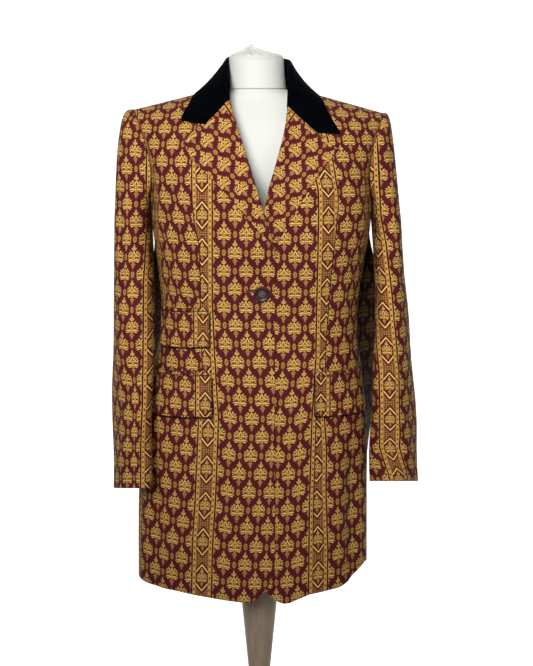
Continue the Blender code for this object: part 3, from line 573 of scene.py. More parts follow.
def ridge_height(reach):
    """Height of the shoulder ridge: a slope down from the neck, a tilt to a side, and a rise at the neck."""
    away = np.abs(reach)
    rise = NECK_RISE * (1 - ease(away / NECK_RISE_WIDE))
    return SHOULDER_TIP + SHOULDER_SLOPE * (TIP_REACH - away) - SHOULDER_TILT * reach + rise


def tip_section():
    """Half width at armpit height of the column that ends at the shoulder tip."""
    square = BODY["square"][-1]
    return BODY["half"][-1] * (1 - ARMHOLE_DEPTH**square) ** (1 / square)


FLARE = TIP_REACH / tip_section() - 1


def hem_wave(phi, z):
    """Share by which the skirt swells and falls in: two sine waves round the body that grow to the hem."""
    fade = ease((WAVE_STARTS - z) / (WAVE_STARTS - HEM)) ** 1.5
    return 1 + HEM_WAVE * fade * (0.55 * np.sin(5 * phi + 0.7) + 0.45 * np.sin(8 * phi - 1.0))


def hem_height(phi):
    """Height of the hem at each angle: lowest at the front corners and higher towards the side seams."""
    angle = np.degrees(np.arctan2(np.sin(phi), np.cos(phi)))
    return HEM + HEM_TILT * np.sin(phi) + np.interp(angle, HEM_LINE["angle"], HEM_LINE["rise"])


def level_of_rise(w):
    """Level of a share of the way up from the armpit to the ridge."""
    return LEVEL_ARMPIT + (1 - LEVEL_ARMPIT) * np.arcsin(np.clip(w, 0, 1) ** (DOME / 2)) / (np.pi / 2)


def rise_of_level(level):
    """Shares of the way up to the ridge and of the depth left there: a superellipse over the shoulder."""
    turn = np.clip((level - LEVEL_ARMPIT) / (1 - LEVEL_ARMPIT), 0, 1) * np.pi / 2
    return np.sin(turn) ** (2 / DOME), np.clip(np.cos(turn), 0, 1) ** (2 / DOME)


def way_behind(phi):
    """Share of the way round from the side seam to the centre back."""
    return np.clip((np.arccos(np.cos(phi)) - np.pi / 2) / (np.pi / 2), 0, 1)


def arm_shade(phi, z):
    """How dark the arms' shade is on the back: deep just behind the side seam, gone further round."""
    fade = 1 - ramp(way_behind(phi), ARM_SHADE_ROUND)
    return ARM_SHADE * fade * ramp(z, ARM_SHADE_LOW) * ramp(z, ARM_SHADE_HIGH)


def back_hang(phi, z):
    """How far the back swings out behind the side seam: a hump that is widest a third of the way round."""
    way = way_behind(phi)
    hump = ease(way / HANG_AT) * (1 - ease((way - HANG_AT) / (1 - HANG_AT)))
    sine = np.sin(phi)
    most = np.where(sine < 0, column(BACK_HANG, "right", z), column(BACK_HANG, "left", z))
    return np.sign(sine) * np.maximum(most, 0) * hump


def body(phi, level):
    """The jacket's outside: superellipse sections round phi, lifted by level from hem (0) to ridge (1)."""
    phi, level = np.broadcast_arrays(np.asarray(phi, float), np.asarray(level, float))
    low = hem_height(phi)
    z_low = low + (ARMPIT - low) * np.minimum(level / LEVEL_ARMPIT, 1)
    w, dome = rise_of_level(level)
    half, square = column(BODY, "half", z_low), column(BODY, "square", z_low)
    cosine, sine = np.cos(phi), np.sin(phi)
    reach = superellipse(cosine, sine, square) * hem_wave(phi, z_low)
    deep = np.where(cosine > 0, column(BODY, "front", z_low), column(BODY, "back", z_low))
    across = half * reach * sine
    x = column(BODY, "centre", z_low) * (1 - w) + across * (1 + FLARE * w**2) + back_hang(phi, z_low)
    y = -deep * reach * cosine * dome
    z = z_low + w * (ridge_height(across * (1 + FLARE)) - ARMPIT)
    return np.stack([x, y, z], axis=-1)


def phi_of_share(share, square):
    """Angle of the section's point at a share of its half width."""
    share = np.clip(share, -0.9999, 0.9999)
    return np.arctan2(share, (1 - np.abs(share) ** square) ** (1 / square))


def shoulder_phi(reach):
    """Angle of the column that comes up to the shoulder ridge at this reach."""
    return phi_of_share(reach / (1 + FLARE) / BODY["half"][-1], BODY["square"][-1])


def front_place(x, z):
    """Angle and level of the front's point that shows at x, z, found by repeated correction."""
    x, z = np.broadcast_arrays(np.asarray(x, float), np.asarray(z, float))
    at = np.minimum(z, ARMPIT)
    half, square = column(BODY, "half", at), column(BODY, "square", at)
    across = x.copy()
    swell = np.ones_like(across)
    for _ in range(25):
        w = np.clip((z - ARMPIT) / (ridge_height(across * (1 + FLARE)) - ARMPIT), 0, 1)
        across = (x - column(BODY, "centre", at) * (1 - w)) / (1 + FLARE * w**2)
        phi = phi_of_share(across / (half * swell), square)
        swell = hem_wave(phi, z)
    low = hem_height(phi)
    level_low = LEVEL_ARMPIT * (z - low) / (ARMPIT - low)
    return phi, np.where(z > ARMPIT, level_of_rise(w), level_low)


def body_normal(phi, level):
    """Unit normal of the jacket's outside, from small steps both ways."""
    step = 1e-4
    below, above = np.maximum(level - step, 0), np.minimum(level + step, 1)
    round_way = body(phi + step, level) - body(phi - step, level)
    up_way = body(phi, above) - body(phi, below)
    return unit(np.cross(round_way, up_way))


def crease_height(table, across, up):
    """Sum of soft troughs and ridges: each is a bell across its line that fades at the line's two ends."""
    total = np.zeros(np.broadcast(across, up).shape)
    for x0, z0, x1, z1, wide, deep in zip(*table.values()):
        long = np.hypot(x1 - x0, z1 - z0)
        part = ((across - x0) * (x1 - x0) + (up - z0) * (z1 - z0)) / long**2
        off = ((across - x0) * (z1 - z0) - (up - z0) * (x1 - x0)) / long
        total += deep * np.exp(-(off / wide) ** 2) * np.exp(-(((part - 0.5) / CREASE_FADE) ** 4))
    return total


def lap_lift(x, z):
    """How far the right front stands off the shared surface, to lie over the left front and its lapel."""
    lapel = ramp(z, LAP_LAPEL_LOW) * ramp(z, LAP_LAPEL_HIGH) * ramp(x, LAP_LAPEL_FROM)
    return ramp(x, LAP_FROM) * (CLOTH + LAID_GAP) + lapel * (CLOTH + LAID_GAP + LAP_LAPEL_LIFT)


def front_points(x, z, side, lift):
    """Points at x, z on the outside of a creased front, moved out by the lift, and their normals."""
    phi, level = front_place(x, z)
    base = lap_lift(x, z) if side < 0 else 0.0
    normal = body_normal(phi, level)
    out = base + lift + crease_height(CREASES_FRONT, x, z)
    return body(phi, level) + normal * out[..., None], normal


def armhole(w, side, behind):
    """Angle and level of the armhole seam at a share of its height."""
    square = BODY["square"][-1]
    deep = ARMHOLE_DEPTH * np.sqrt(1 - (1 - w) ** ARMHOLE_ROUND)
    phi = np.arctan2((1 - deep**square) ** (1 / square), deep)
    return side * np.where(behind, np.pi - phi, phi), np.minimum(level_of_rise(w), RIDGE_LEVEL)


def top_of_columns(part, tip_part, first_reach):
    """Angle and level where columns end: the shoulder up to tip_part, then the armhole down to the side."""
    shoulder = np.clip(part / tip_part, 0, 1)
    reach = first_reach + (TIP_REACH - first_reach) * shoulder
    phi = shoulder_phi(reach)
    w = (1 + np.cos(np.pi * np.clip((part - tip_part) / (1 - tip_part), 0, 1))) / 2
    hole_phi, hole_level = armhole(w, 1, False)
    after = part > tip_part
    return np.where(after, hole_phi, phi), np.where(after, hole_level, RIDGE_LEVEL)


def edge_phi(table, level, side):
    """Angle of the front edge at each level, tucked back a little above the break."""
    w, _ = rise_of_level(level)
    z_low = HEM + (ARMPIT - HEM) * np.minimum(level / LEVEL_ARMPIT, 1)
    z = z_low + w * (ridge_height(EDGE_REACH) - ARMPIT)
    across = np.interp(z, table["height"], table["across"]) + EDGE_TUCK * ramp(z, EDGE_TUCK_AT)
    across = (across - side * column(BODY, "centre", z_low) * (1 - w)) / (1 + FLARE * w**2)
    return phi_of_share(across / column(BODY, "half", z_low), column(BODY, "square", z_low))


def front_panel(side, table, corner_wide, corner_high):
    """Angles and levels of a front: columns from its edge to the side seam, rows from hem to shoulder.

    Columns are closest at the edge, where the corner at the hem is a quarter ellipse.
    """
    in_corner, *counts = FRONT_COLUMNS
    bend = np.linspace(0, 1, in_corner)
    part = np.concatenate([FRONT_CORNER * (0.45 * bend + 0.55 * bend**2),
                           stretches((FRONT_CORNER, FRONT_TIP, 1), counts)[1:]])[:, None]
    row = np.linspace(0, 1, FRONT_ROWS)[None, :]
    last = np.pi / 2 - SIDE_GAP_FRONT
    top_phi, top_level = top_of_columns(part, FRONT_TIP, NECK_REACH)
    top_phi = np.minimum(top_phi, last)
    first_top = edge_phi(table, np.array([[RIDGE_LEVEL]]), side)
    tip_phi = top_phi[part <= FRONT_TIP].max()
    stretch = (tip_phi - first_top) / (tip_phi - top_phi[0])
    top_phi = np.where(part <= FRONT_TIP, first_top + (top_phi - top_phi[0]) * stretch, top_phi)
    hem_edge = edge_phi(table, np.zeros((1, 1)), side)
    hem_phi = hem_edge + (last - hem_edge) * part
    hem_x = side * body(side * hem_phi, 0.0)[..., 0]
    short = np.clip(1 - (hem_x - hem_x[0]) / corner_wide, 0, 1)
    start = corner_high * (1 - np.sqrt(1 - short**2)) * LEVEL_ARMPIT / (ARMPIT - HEM)
    level = start + (top_level - start) * row
    first = edge_phi(table, level[:1], side)
    blend = ramp(row, PANEL_LEAN)
    share = (1 - blend) * part + blend * (top_phi - first_top) / (last - first_top)
    return side * (first + (last - first) * share), level + 0 * part


def back_panel():
    """Angles and levels of the back: columns from side seam to side seam, rows from the hem to the neck."""
    half = stretches((0, BACK_NECK, BACK_TIP, 1), BACK_COLUMNS)[1:]
    signed = np.concatenate([-half[::-1], [0], half])[:, None]
    part = np.abs(signed)
    row = np.linspace(0, 1, BACK_ROWS)[None, :]
    last = np.pi / 2 - SIDE_GAP_BACK
    phi_after, level_after = top_of_columns(np.maximum(part - BACK_NECK, 0) / (1 - BACK_NECK),
                                            (BACK_TIP - BACK_NECK) / (1 - BACK_NECK), NECK_REACH)
    neck = np.clip(part / BACK_NECK, 0, 1)
    phi_neck = shoulder_phi(NECK_REACH * neck)
    neck_rise = BACK_NECK_LEVEL + (1 - BACK_NECK_LEVEL) * neck**2.5
    level_neck = LEVEL_ARMPIT + (1 - LEVEL_ARMPIT) * neck_rise * BACK_NECK_TOP
    in_neck = part <= BACK_NECK
    top_phi = np.minimum(np.where(in_neck, phi_neck, phi_after), last)
    top_level = np.where(in_neck, level_neck, level_after)
    blend = ramp(row, PANEL_LEAN)
    even = np.linspace(-1, 1, len(signed))[:, None] * last
    phi = (1 - blend) * even + blend * np.sign(signed) * top_phi
    return np.pi - phi, top_level * row


def hole_end(side, w):
    """Outward distance and height of the armhole seam's lowest or highest point."""
    end = body(*armhole(np.array([w]), side, np.array([False])))[0]
    return np.array([side * end[0], end[2]])


def sleeve_section(sigma, square):
    """Shares of a sleeve's half width and half depth at each angle of a superellipse."""
    cosine, sine = np.cos(sigma), np.sin(sigma)
    reach = superellipse(cosine, sine, square)
    return cosine * reach, sine * reach


def sleeve_ring(side, table, sigma, height):
    """One ring of a sleeve: a turned superellipse with soft folds, higher in front near the cuff."""
    rising = table["height"][::-1]
    row = {name: smooth(np.array(height), rising, values[::-1]) for name, values in table.items()}
    turn = np.radians(row["turn"])
    folds = 1 + FOLD_HIGH * np.sin(FOLD_COUNT * sigma + FOLD_TWIST * height) * ramp(height, FOLD_FROM)
    inward, forward = sleeve_section(sigma, SLEEVE_SQUARE)
    inward, forward = row["half_wide"] * inward * folds, row["half_deep"] * forward * folds
    x = side * (row["reach"] - inward * np.cos(turn) - forward * np.sin(turn))
    y = row["depth"] + inward * np.sin(turn) - forward * np.cos(turn)
    slope = CUFF_SLOPE * ease((CUFF_STARTS - height) / (CUFF_STARTS - rising[0]))
    return np.stack([x, y, height - slope * (y - row["depth"])], axis=-1)


def sleeve_grid(side, table, sigma, head_rings, arm_rings):
    """Part of a sleeve: rings that run from the armhole seam over the padded head, then down the arm."""
    along = (1 - np.cos(sigma)) / 2
    hole = body(*armhole(along, side, sigma > np.pi))
    hole = np.where((sigma < 0)[:, None], body(*armhole(along, side, np.ones_like(along, bool))), hole)
    hole[:, 0] *= side
    pit = hole_end(side, 0.0) + np.array([ARMHOLE_GAP, 0.0])
    tip = hole_end(side, 1.0) + np.array([ARMHOLE_GAP, 0.0])
    first = {name: values[0] for name, values in table.items()}
    inner = np.array([first["reach"] - first["half_wide"], first["height"]])
    outer = np.array([first["reach"] + first["half_wide"], first["height"]])
    corner = HEAD_CORNER[side]
    rings = []
    for part in np.linspace(0, 1, head_rings, endpoint=False):
        turn = part * np.pi / 2
        low = pit + (inner - pit) * part
        drop = 1 - np.sqrt(np.cos(turn))
        high_x = tip[0] + (corner - tip[0]) * np.sqrt(np.sin(turn)) + (outer[0] - corner) * drop**HEAD_SOFT
        high = np.array([high_x, tip[1] + (outer[1] - tip[1]) * drop])
        inward, forward = sleeve_section(sigma, 2 + (SLEEVE_SQUARE - 2) * ease(part))
        line = low + (high - low) * (1 - inward[:, None]) / 2
        fade = (1 - part) ** 2
        bow = (hole[:, 0] + ARMHOLE_GAP - (pit[0] + (tip[0] - pit[0]) * along)) * fade
        lift = (hole[:, 2] - (pit[1] + (tip[1] - pit[1]) * along)) * fade
        round_ring = first["depth"] - first["half_deep"] * forward
        depth = hole[:, 1] * (1 - ease(part)) + round_ring * ease(part)
        rings.append(np.stack([side * (line[:, 0] + bow), depth, line[:, 1] + lift], axis=-1))
    for height in np.linspace(table["height"][0], table["height"][-1], arm_rings):
        rings.append(sleeve_ring(side, table, sigma, height))
    return np.stack(rings, axis=1)


def lapel_grid(side, table, notch, along, across, wrap):
    """A lapel from its edge to its roll line, then half round the roll and behind the front.

    Gives the points, their normals and the x, z that each point has on the flat lapel.
    """
    s = np.linspace(0, 1, along)[:, None]
    q = np.linspace(1, 0, across)[None, :]
    roll_x, roll_z = (column(table, name, s, "part") for name in ("roll_x", "roll_z"))
    edge_x, edge_z = (column(table, name, s, "part") for name in ("edge_x", "edge_z"))
    roll_x = roll_x + side * LAPEL_TUCK * ease(s / 0.15)
    x = roll_x + (edge_x - roll_x) * q
    z = roll_z + (edge_z - roll_z) * q
    hat = np.minimum(q / NOTCH_SHARE, (1 - q) / (1 - NOTCH_SHARE)) * ramp(s, (NOTCH_FROM, 1.0))
    x = x + hat * (notch[0] - (roll_x[-1] + (edge_x[-1] - roll_x[-1]) * NOTCH_SHARE))
    z = z + hat * (notch[1] - (roll_z[-1] + (edge_z[-1] - roll_z[-1]) * NOTCH_SHARE))
    rolled = LAPEL_ROLL * (1 - q) ** 3 * ease(s / 0.3)
    lift = LAID_GAP + CLOTH + rolled
    flat, normal = front_points(x, z, side, lift)
    end, up = flat[:, -1:], normal[:, -1:]
    out = unit(end - flat[:, -3:-2])
    radius = ((lift[:, -1:] + CLOTH) / 2 + ROLL_GAP)[..., None]
    turn = np.linspace(0, ROLL_TURN, wrap + 1)[None, 1:, None]
    rolled_round = end + radius * (out * np.sin(turn) - up * (1 - np.cos(turn)))
    round_normal = out * np.sin(turn) + up * np.cos(turn)
    run = radius[..., 0] * turn[..., 0]
    x_all = np.concatenate([x, x[:, -1:] + out[..., 0] * run], axis=1)
    z_all = np.concatenate([z, z[:, -1:] + out[..., 2] * run], axis=1)
    points = np.concatenate([flat, rolled_round], axis=1)
    return points, np.concatenate([normal, round_normal], axis=1), x_all, z_all


def yoke(side, reach, turn, lift):
    """A point over the shoulder: turn is 0 at the front's armpit, 90 on the ridge, 180 behind."""
    level = LEVEL_ARMPIT + (1 - LEVEL_ARMPIT) * np.minimum(turn, 180 - turn) / 90
    level = np.minimum(level, RIDGE_LEVEL)
    phi = shoulder_phi(reach)
    phi = side * np.where(turn > 90, np.pi - phi, phi)
    return body(phi, level) + body_normal(phi, level) * np.asarray(lift)[..., None]


def yoke_place(point):
    """Reach and turn of the front's point that shows at x, z."""
    phi, level = front_place(np.array([point[0]]), np.array([point[1]]))
    share = np.abs(np.sin(phi)) * superellipse(np.cos(phi), np.sin(phi), BODY["square"][-1])
    return share[0] * BODY["half"][-1] * (1 + FLARE), 90 * (level[0] - LEVEL_ARMPIT) / (1 - LEVEL_ARMPIT)


def collar_half(side, along, across, point, notch):
    """Half of the collar from its front end to the centre back: stand, fold and fall as a few guide rows."""
    u = np.linspace(0, 1, along)
    start = 1 - ease(u / 0.40)
    tilt = side * COLLAR_TILT * (1 - u)
    fold = np.stack([side * column(COLLAR_FOLD, "x", u, "along"), column(COLLAR_FOLD, "y", u, "along"),
                     column(COLLAR_FOLD, "z", u, "along") - tilt], axis=-1)
    reach, turn = (column(COLLAR_EDGE, name, u, "along") for name in ("reach", "turn"))
    tip_reach, tip_turn = yoke_place(point)
    reach = reach + (tip_reach - reach[0]) * start - COLLAR_TRIM[side] * ease(u / 0.15) * ease((1 - u) / 0.4)
    turn = turn + (tip_turn - turn[0]) * start
    lift = COLLAR_GAP + VELVET + np.full(along, (CLOTH + LAID_GAP) * (side < 0)) * 0.4
    edge = yoke(side, reach, turn, lift)
    notch_reach, notch_turn = yoke_place(notch)
    flat = yoke(side, reach + (notch_reach - tip_reach), turn + (notch_turn - tip_turn), lift + 0.0006)
    outward = unit((fold - [0.0, 0.005, 0.0]) * [1, 1, 0])
    up = np.array([0.0, 0.0, 1.0])
    free = (1 - COLLAR_MIDDLE) * fold + COLLAR_MIDDLE * edge + (0.5 * outward + 0.8 * up) * COLLAR_SWELL
    front = (1 - ease(u / 0.30))[:, None]
    middle = front * flat + (1 - front) * free
    high = np.clip(fold[:, 2] - STAND_FOOT, 0.0035, STAND_HIGH)[:, None]
    lip = COLLAR_LIP[0] + COLLAR_LIP[1] * ease(u / 0.25)[:, None]
    rows = [fold - outward * lip - up * high,
            fold - outward * lip - up * 0.6 * high,
            fold - outward * 0.94 * lip - up * np.minimum(0.3 * high, 0.0040),
            fold - outward * 0.52 * lip - up * COLLAR_FOLD_DROP,
            fold - up * COLLAR_FOLD_DROP]
    bend = COLLAR_BEND
    for v in np.linspace(0, 1, across)[1:]:
        bent = np.where(v < bend, fold + (middle - fold) * v / bend,
                        middle + (edge - middle) * (v - bend) / (1 - bend))
        first = (v - bend) * (v - 1) / bend
        second = v * (v - 1) / (bend * (bend - 1))
        third = v * (v - bend) / (1 - bend)
        rows.append(front * bent + (1 - front) * (first * fold + second * middle + third * edge))
    return np.stack(rows, axis=1)


def flap_grid(flap, high_from, high_to, round_corners, columns, rows):
    """A flap, or its welt, from points of the front moved out; a flap's lower edge curls off a little."""
    side = np.sign(flap["x0"])
    part = np.linspace(0, 1, columns)[:, None]
    row = np.linspace(0, 1, rows)[None, :]
    x = flap["x0"] + (flap["x1"] - flap["x0"]) * part + 0 * row
    top = flap["z0"] + (flap["z1"] - flap["z0"]) * part
    near = np.minimum(part, 1 - part) * abs(flap["x1"] - flap["x0"])
    cut = np.clip(1 - near / FLAP_CORNER, 0, 1)
    bottom = high_to + (FLAP_CORNER * (1 - np.sqrt(1 - cut**2)) if round_corners else 0)
    z = top + high_from + (bottom - high_from) * row
    curl = FLAP_CURL * row**2 if round_corners else 0 * row
    return front_points(x, z, side, flap["lift"] + curl + 0 * x)


def row_run(grid, depth_share):
    """Distance run along each row of a grid, seen level, with a share of the way in depth."""
    steps = np.hypot(np.diff(grid[..., 0], axis=0), depth_share * np.diff(grid[..., 1], axis=0))
    return np.concatenate([np.zeros((1, grid.shape[1])), np.cumsum(steps, axis=0)])


def run_at(across, run):
    """The run at which each row crosses zero."""
    return np.array([np.interp(0.0, across[:, j], run[:, j]) for j in range(run.shape[1])])[None, :]


def front_print(grid, side, band, row_at, sway):
    """Print places of a front or the back: out along each row from the band's line, and up along the cloth.

    Rows drift apart down the skirt by a square of the way down, and rise by the sway towards the side seam.
    """
    run = row_run(grid, PRINT_DEPTH_SHARE)
    out = run - run_at(side * grid[..., 0] - np.interp(grid[..., 2], band["height"], band["across"]), run)
    rise = np.diff(grid[..., 2], axis=1)
    slope = np.hypot(rise, np.diff(grid[..., 1], axis=1))
    step = np.where(grid[:, 1:, 2] < ARMPIT, rise, slope)
    up = np.cumsum(np.concatenate([grid[:, :1, 2], step], axis=1), axis=1)
    below = np.maximum(PRINT_EVEN - up, 0)
    sway = sway * ease((SWAY_STARTS - grid[..., 2]) / SWAY_FADE) * ease((out - SWAY_FROM) / SWAY_WIDE)
    drift = below * (PRINT_LOSES[side] + PRINT_LOSES_MORE * below)
    return np.stack([out, up + drift - sway - row_at], axis=-1)


def sleeve_print(grid, side, sigma, band, head_rings, start):
    """Print places of a sleeve piece: in along each ring from the band's line, and down from its head.

    Past the top of the head the rows turn level and the columns upright, as on the back panel.
    """
    facing = ease((np.abs(sigma - np.pi) - SLEEVE_SIDE) / SLEEVE_TURN)[:, None]
    share = 1 - (1 - SLEEVE_DEPTH_SHARE) * facing
    run = row_run(grid, (share[1:] + share[:-1]) / 2)
    if band is None:
        out = run
    else:
        seen = sigma <= np.pi
        across = side * grid[..., 0] - np.interp(grid[..., 2], band["height"], band["across"])
        out = run_at(across[seen], run[seen]) - run
    if side < 0 and band is not None:
        pleat = {name: np.interp(grid[..., 2], PLEATS["height"], PLEATS[name]) for name in PLEATS}
        out = out - pleat["takes"] * ease((side * grid[..., 0] - pleat["at"]) / pleat["wide"])
    lengths = np.linalg.norm(np.diff(grid, axis=1), axis=-1)
    lengths = share * lengths + (1 - share) * np.abs(np.diff(grid[..., 2], axis=1))
    head = np.cumsum(lengths[:, head_rings - 1::-1], axis=1)[:, ::-1]
    behind = ease((sigma - np.pi) / HEAD_LEVELS)[:, None]
    head = head + behind * (grid[:, :head_rings, 2] - grid[:, head_rings:head_rings + 1, 2] - head)
    if band is not None:
        past = np.flatnonzero(sigma >= np.pi)[::-1]
        ring = np.maximum.accumulate(side * grid[past, head_rings, 0])
        reach = side * grid[:, :head_rings, 0]
        plain = np.interp(reach, ring, out[past, head_rings]) + np.minimum(reach - ring[0], 0)
        out[:, :head_rings] += behind * (plain - out[:, :head_rings])
    arm = -np.cumsum(lengths[:, head_rings:].mean(axis=0))[None, :] + np.zeros((len(grid), 1))
    up = np.concatenate([head, np.zeros((len(grid), 1)), arm], axis=1)
    return np.stack([out, up - start], axis=-1)


def border(n, m):
    """Row and column numbers once round the edge of a grid."""
    i = np.concatenate([np.arange(n), np.full(m - 1, n - 1), np.arange(n - 2, -1, -1), np.zeros(m - 2, int)])
    j = np.concatenate([np.zeros(n, int), np.arange(1, m), np.full(n - 1, m - 1), np.arange(m - 2, 0, -1)])
    return i, j


def strip(first, second):
    """Quads between two rows of vertex numbers."""
    return np.stack([first[:-1], first[1:], second[1:], second[:-1]], axis=-1)


def add_piece(name, points, faces, materials, finish=None, places=None, values=None):
    """A smooth mesh at the origin, faces turned outwards, with print places and named values if given."""
    corners = [np.asarray(group) for group in faces]
    volume = 0.0
    for group in corners:
        for k in range(1, group.shape[1] - 1):
            spans = np.cross(points[group[:, k]], points[group[:, k + 1]])
            volume += np.sum(points[group[:, 0]] * spans)
    if volume < 0:
        corners = [group[:, ::-1] for group in corners]
    sizes = np.concatenate([np.full(len(group), group.shape[1]) for group in corners])
    loops = np.concatenate([group.ravel() for group in corners]).astype(np.int32)
    mesh = bpy.data.meshes.new(name)
    mesh.vertices.add(len(points))
    mesh.vertices.foreach_set("co", points.astype(np.float32).ravel())
    mesh.loops.add(len(loops))
    mesh.loops.foreach_set("vertex_index", loops)
    mesh.polygons.add(len(sizes))
    mesh.polygons.foreach_set("loop_start", np.concatenate([[0], np.cumsum(sizes)[:-1]]).astype(np.int32))
    for material in materials:
        mesh.materials.append(material)
    if finish is not None:
        mesh.polygons.foreach_set("material_index", finish.astype(np.int32))
    if places is not None:
        layer = mesh.uv_layers.new(name="print")
        layer.data.foreach_set("uv", places[loops].astype(np.float32).ravel())
    for label, numbers in (values or {}).items():
        attribute = mesh.attributes.new(label, "FLOAT", "POINT")
        attribute.data.foreach_set("value", numbers.astype(np.float32))
    mesh.update(calc_edges=True)
    mesh.shade_smooth()
    obj = bpy.data.objects.new(name, mesh)
    bpy.context.scene.collection.objects.link(obj)
    return obj


def cloth_wall(name, outer, normal, thick, materials, places=None, values=None):
    """A closed cloth wall: the grid, the grid again one thickness in, and a half-round edge."""
    n, m = outer.shape[:2]
    i, j = border(n, m)
    out = unit(outer[i, j] - outer[np.clip(i, 1, n - 2), np.clip(j, 1, m - 2)])
    outer = outer.copy()
    outer[i, j] -= out * thick / 2
    inner = outer - normal * thick
    middle = (outer[i, j] + inner[i, j]) / 2
    rim = [middle + thick / 2 * (np.cos(a) * normal[i, j] + np.sin(a) * out)
           for a in np.radians([45, 90, 135])]
    points = np.concatenate([outer.reshape(-1, 3), inner.reshape(-1, 3), *rim])
    at = np.arange(n * m).reshape(n, m)
    square = np.stack([at[:-1, :-1], at[1:, :-1], at[1:, 1:], at[:-1, 1:]], axis=-1).reshape(-1, 4)
    under = square[:, ::-1] + n * m
    edge = len(i)
    loops = [at[i, j]] + [2 * n * m + k * edge + np.arange(edge) for k in range(3)] + [at[i, j] + n * m]
    loops = [np.append(loop, loop[0]) for loop in loops]
    strips = [strip(second, first) for first, second in zip(loops[:-1], loops[1:])]
    faces = np.concatenate([square, under, *strips])
    finish = np.zeros(len(faces))
    finish[len(square):2 * len(square)] = len(materials) - 1

    def spread(grid):
        """Values of a grid for the outside, the inside and the edge's three rows."""
        flat = grid.reshape(n * m, -1)
        return np.concatenate([flat, flat] + [grid[i, j].reshape(edge, -1)] * 3)

    places = None if places is None else spread(places)
    values = {label: spread(grid)[:, 0] for label, grid in (values or {}).items()}
    return add_piece(name, points, [faces], materials, finish, places, values)


def turned(name, rings, materials, values=None):
    """A closed solid from rings of equal count, each end closed by a point in its middle."""
    n, m = rings.shape[:2]
    poles = [rings[0].mean(axis=0)[None], rings[-1].mean(axis=0)[None]]
    points = np.concatenate([rings.reshape(-1, 3), *poles])
    at = np.arange(n * m).reshape(n, m)
    at = np.concatenate([at, at[:, :1]], axis=1)
    quads = np.concatenate([strip(at[i], at[i + 1]) for i in range(n - 1)])
    low = np.stack([at[0, 1:], at[0, :-1], np.full(m, n * m)], axis=-1)
    high = np.stack([at[-1, :-1], at[-1, 1:], np.full(m, n * m + 1)], axis=-1)
    ends = None
    if values:
        ends = {label: np.concatenate([grid.ravel(), grid[0, :1], grid[-1, :1]])
                for label, grid in values.items()}
    return add_piece(name, points, [quads, low, high], materials, values=ends)


def tube(path, radius, sides):
    """Rings of a round tube along a path, each set across the path's direction."""
    ahead = unit(np.gradient(path, axis=0))
    across = unit(np.cross(ahead, np.array([0.0, 0.1, 1.0])))
    other = np.cross(ahead, across)
    angle = all_round(sides)[None, :, None]
    return path[:, None] + radius * (np.cos(angle) * across[:, None] + np.sin(angle) * other[:, None])


def oval(height, left, right, front, back, square, count):
    """Level superellipse rings that reach left, right, front and back, one for each height."""
    angle = all_round(count)[None, :]
    height, left, right, front, back, square = (np.reshape(value, (-1, 1)) for value in
                                                (height, left, right, front, back, square))
    cosine, sine = np.cos(angle), np.sin(angle)
    reach = superellipse(cosine, sine, square)
    x = np.where(cosine > 0, right, left) * cosine * reach
    y = np.where(sine > 0, back, front) * sine * reach
    return np.stack([x, y, height + 0 * x], axis=-1)


class Field:
    """A number that varies over a surface; arithmetic on it adds Math nodes to the material."""

    def __init__(self, tree, socket):
        self.tree = tree
        self.socket = socket

    def math(self, operation, *others, clamp=False):
        """A Math node of this number and the others."""
        node = self.tree.nodes.new("ShaderNodeMath")
        node.operation = operation
        node.use_clamp = clamp
        for slot, value in zip(node.inputs, (self, *others)):
            if isinstance(value, Field):
                self.tree.links.new(value.socket, slot)
            else:
                slot.default_value = value
        return Field(self.tree, node.outputs[0])

    def __add__(self, other):
        return self.math("ADD", other)

    def __sub__(self, other):
        return self.math("SUBTRACT", other)

    def __mul__(self, other):
        return self.math("MULTIPLY", other)

    def __rsub__(self, other):
        return self.math("MULTIPLY_ADD", -1.0, other)

    def size(self):
        """The number without its sign."""
        return self.math("ABSOLUTE")

    def wrap(self, half):
        """The same number brought to between minus half and half."""
        return self.math("WRAP", half, -half)

    def least(self, other):
        """The smaller of the two."""
        return self.math("MINIMUM", other)

    def most(self, other):
        """The larger of the two."""
        return self.math("MAXIMUM", other)

    def pick(self, chosen, other):
        """The chosen number where this one is 1, and the other where it is 0."""
        return (chosen - other).math("MULTIPLY_ADD", self, other)

    def inside(self, soft=0.4):
        """1 where this is positive and 0 where it is negative, over a soft edge."""
        return self.math("MULTIPLY_ADD", 1 / soft, 0.5, clamp=True)


class Layers:
    """A colour that is built up in layers in a material."""

    def __init__(self, tree, colour):
        self.tree = tree
        self.last = tuple(colour)

    def _set(self, slot, colour):
        """Links a colour to a slot, or writes it there."""
        if isinstance(colour, bpy.types.NodeSocket):
            self.tree.links.new(colour, slot)
        else:
            slot.default_value = (*colour, 1.0)

    def lay(self, colour, mask, blend="MIX"):
        """Puts a colour on top where the mask is 1."""
        node = self.tree.nodes.new("ShaderNodeMix")
        node.data_type = "RGBA"
        node.blend_type = blend
        self.tree.links.new(mask.socket, node.inputs[0])
        self._set(node.inputs[6], self.last)
        self._set(node.inputs[7], colour)
        self.last = node.outputs[2]


def new_material(name):
    """A material with only its Principled shader, and the shader."""
    material = bpy.data.materials.new(name)
    material.use_nodes = True
    return material, material.node_tree, material.node_tree.nodes["Principled BSDF"]


def set_finish(tree, shader, colour, levels):
    """Gives a shader its colour, and a level to each input that is named."""
    tree.links.new(colour, shader.inputs["Base Color"])
    for name, level in levels.items():
        shader.inputs[name].default_value = level


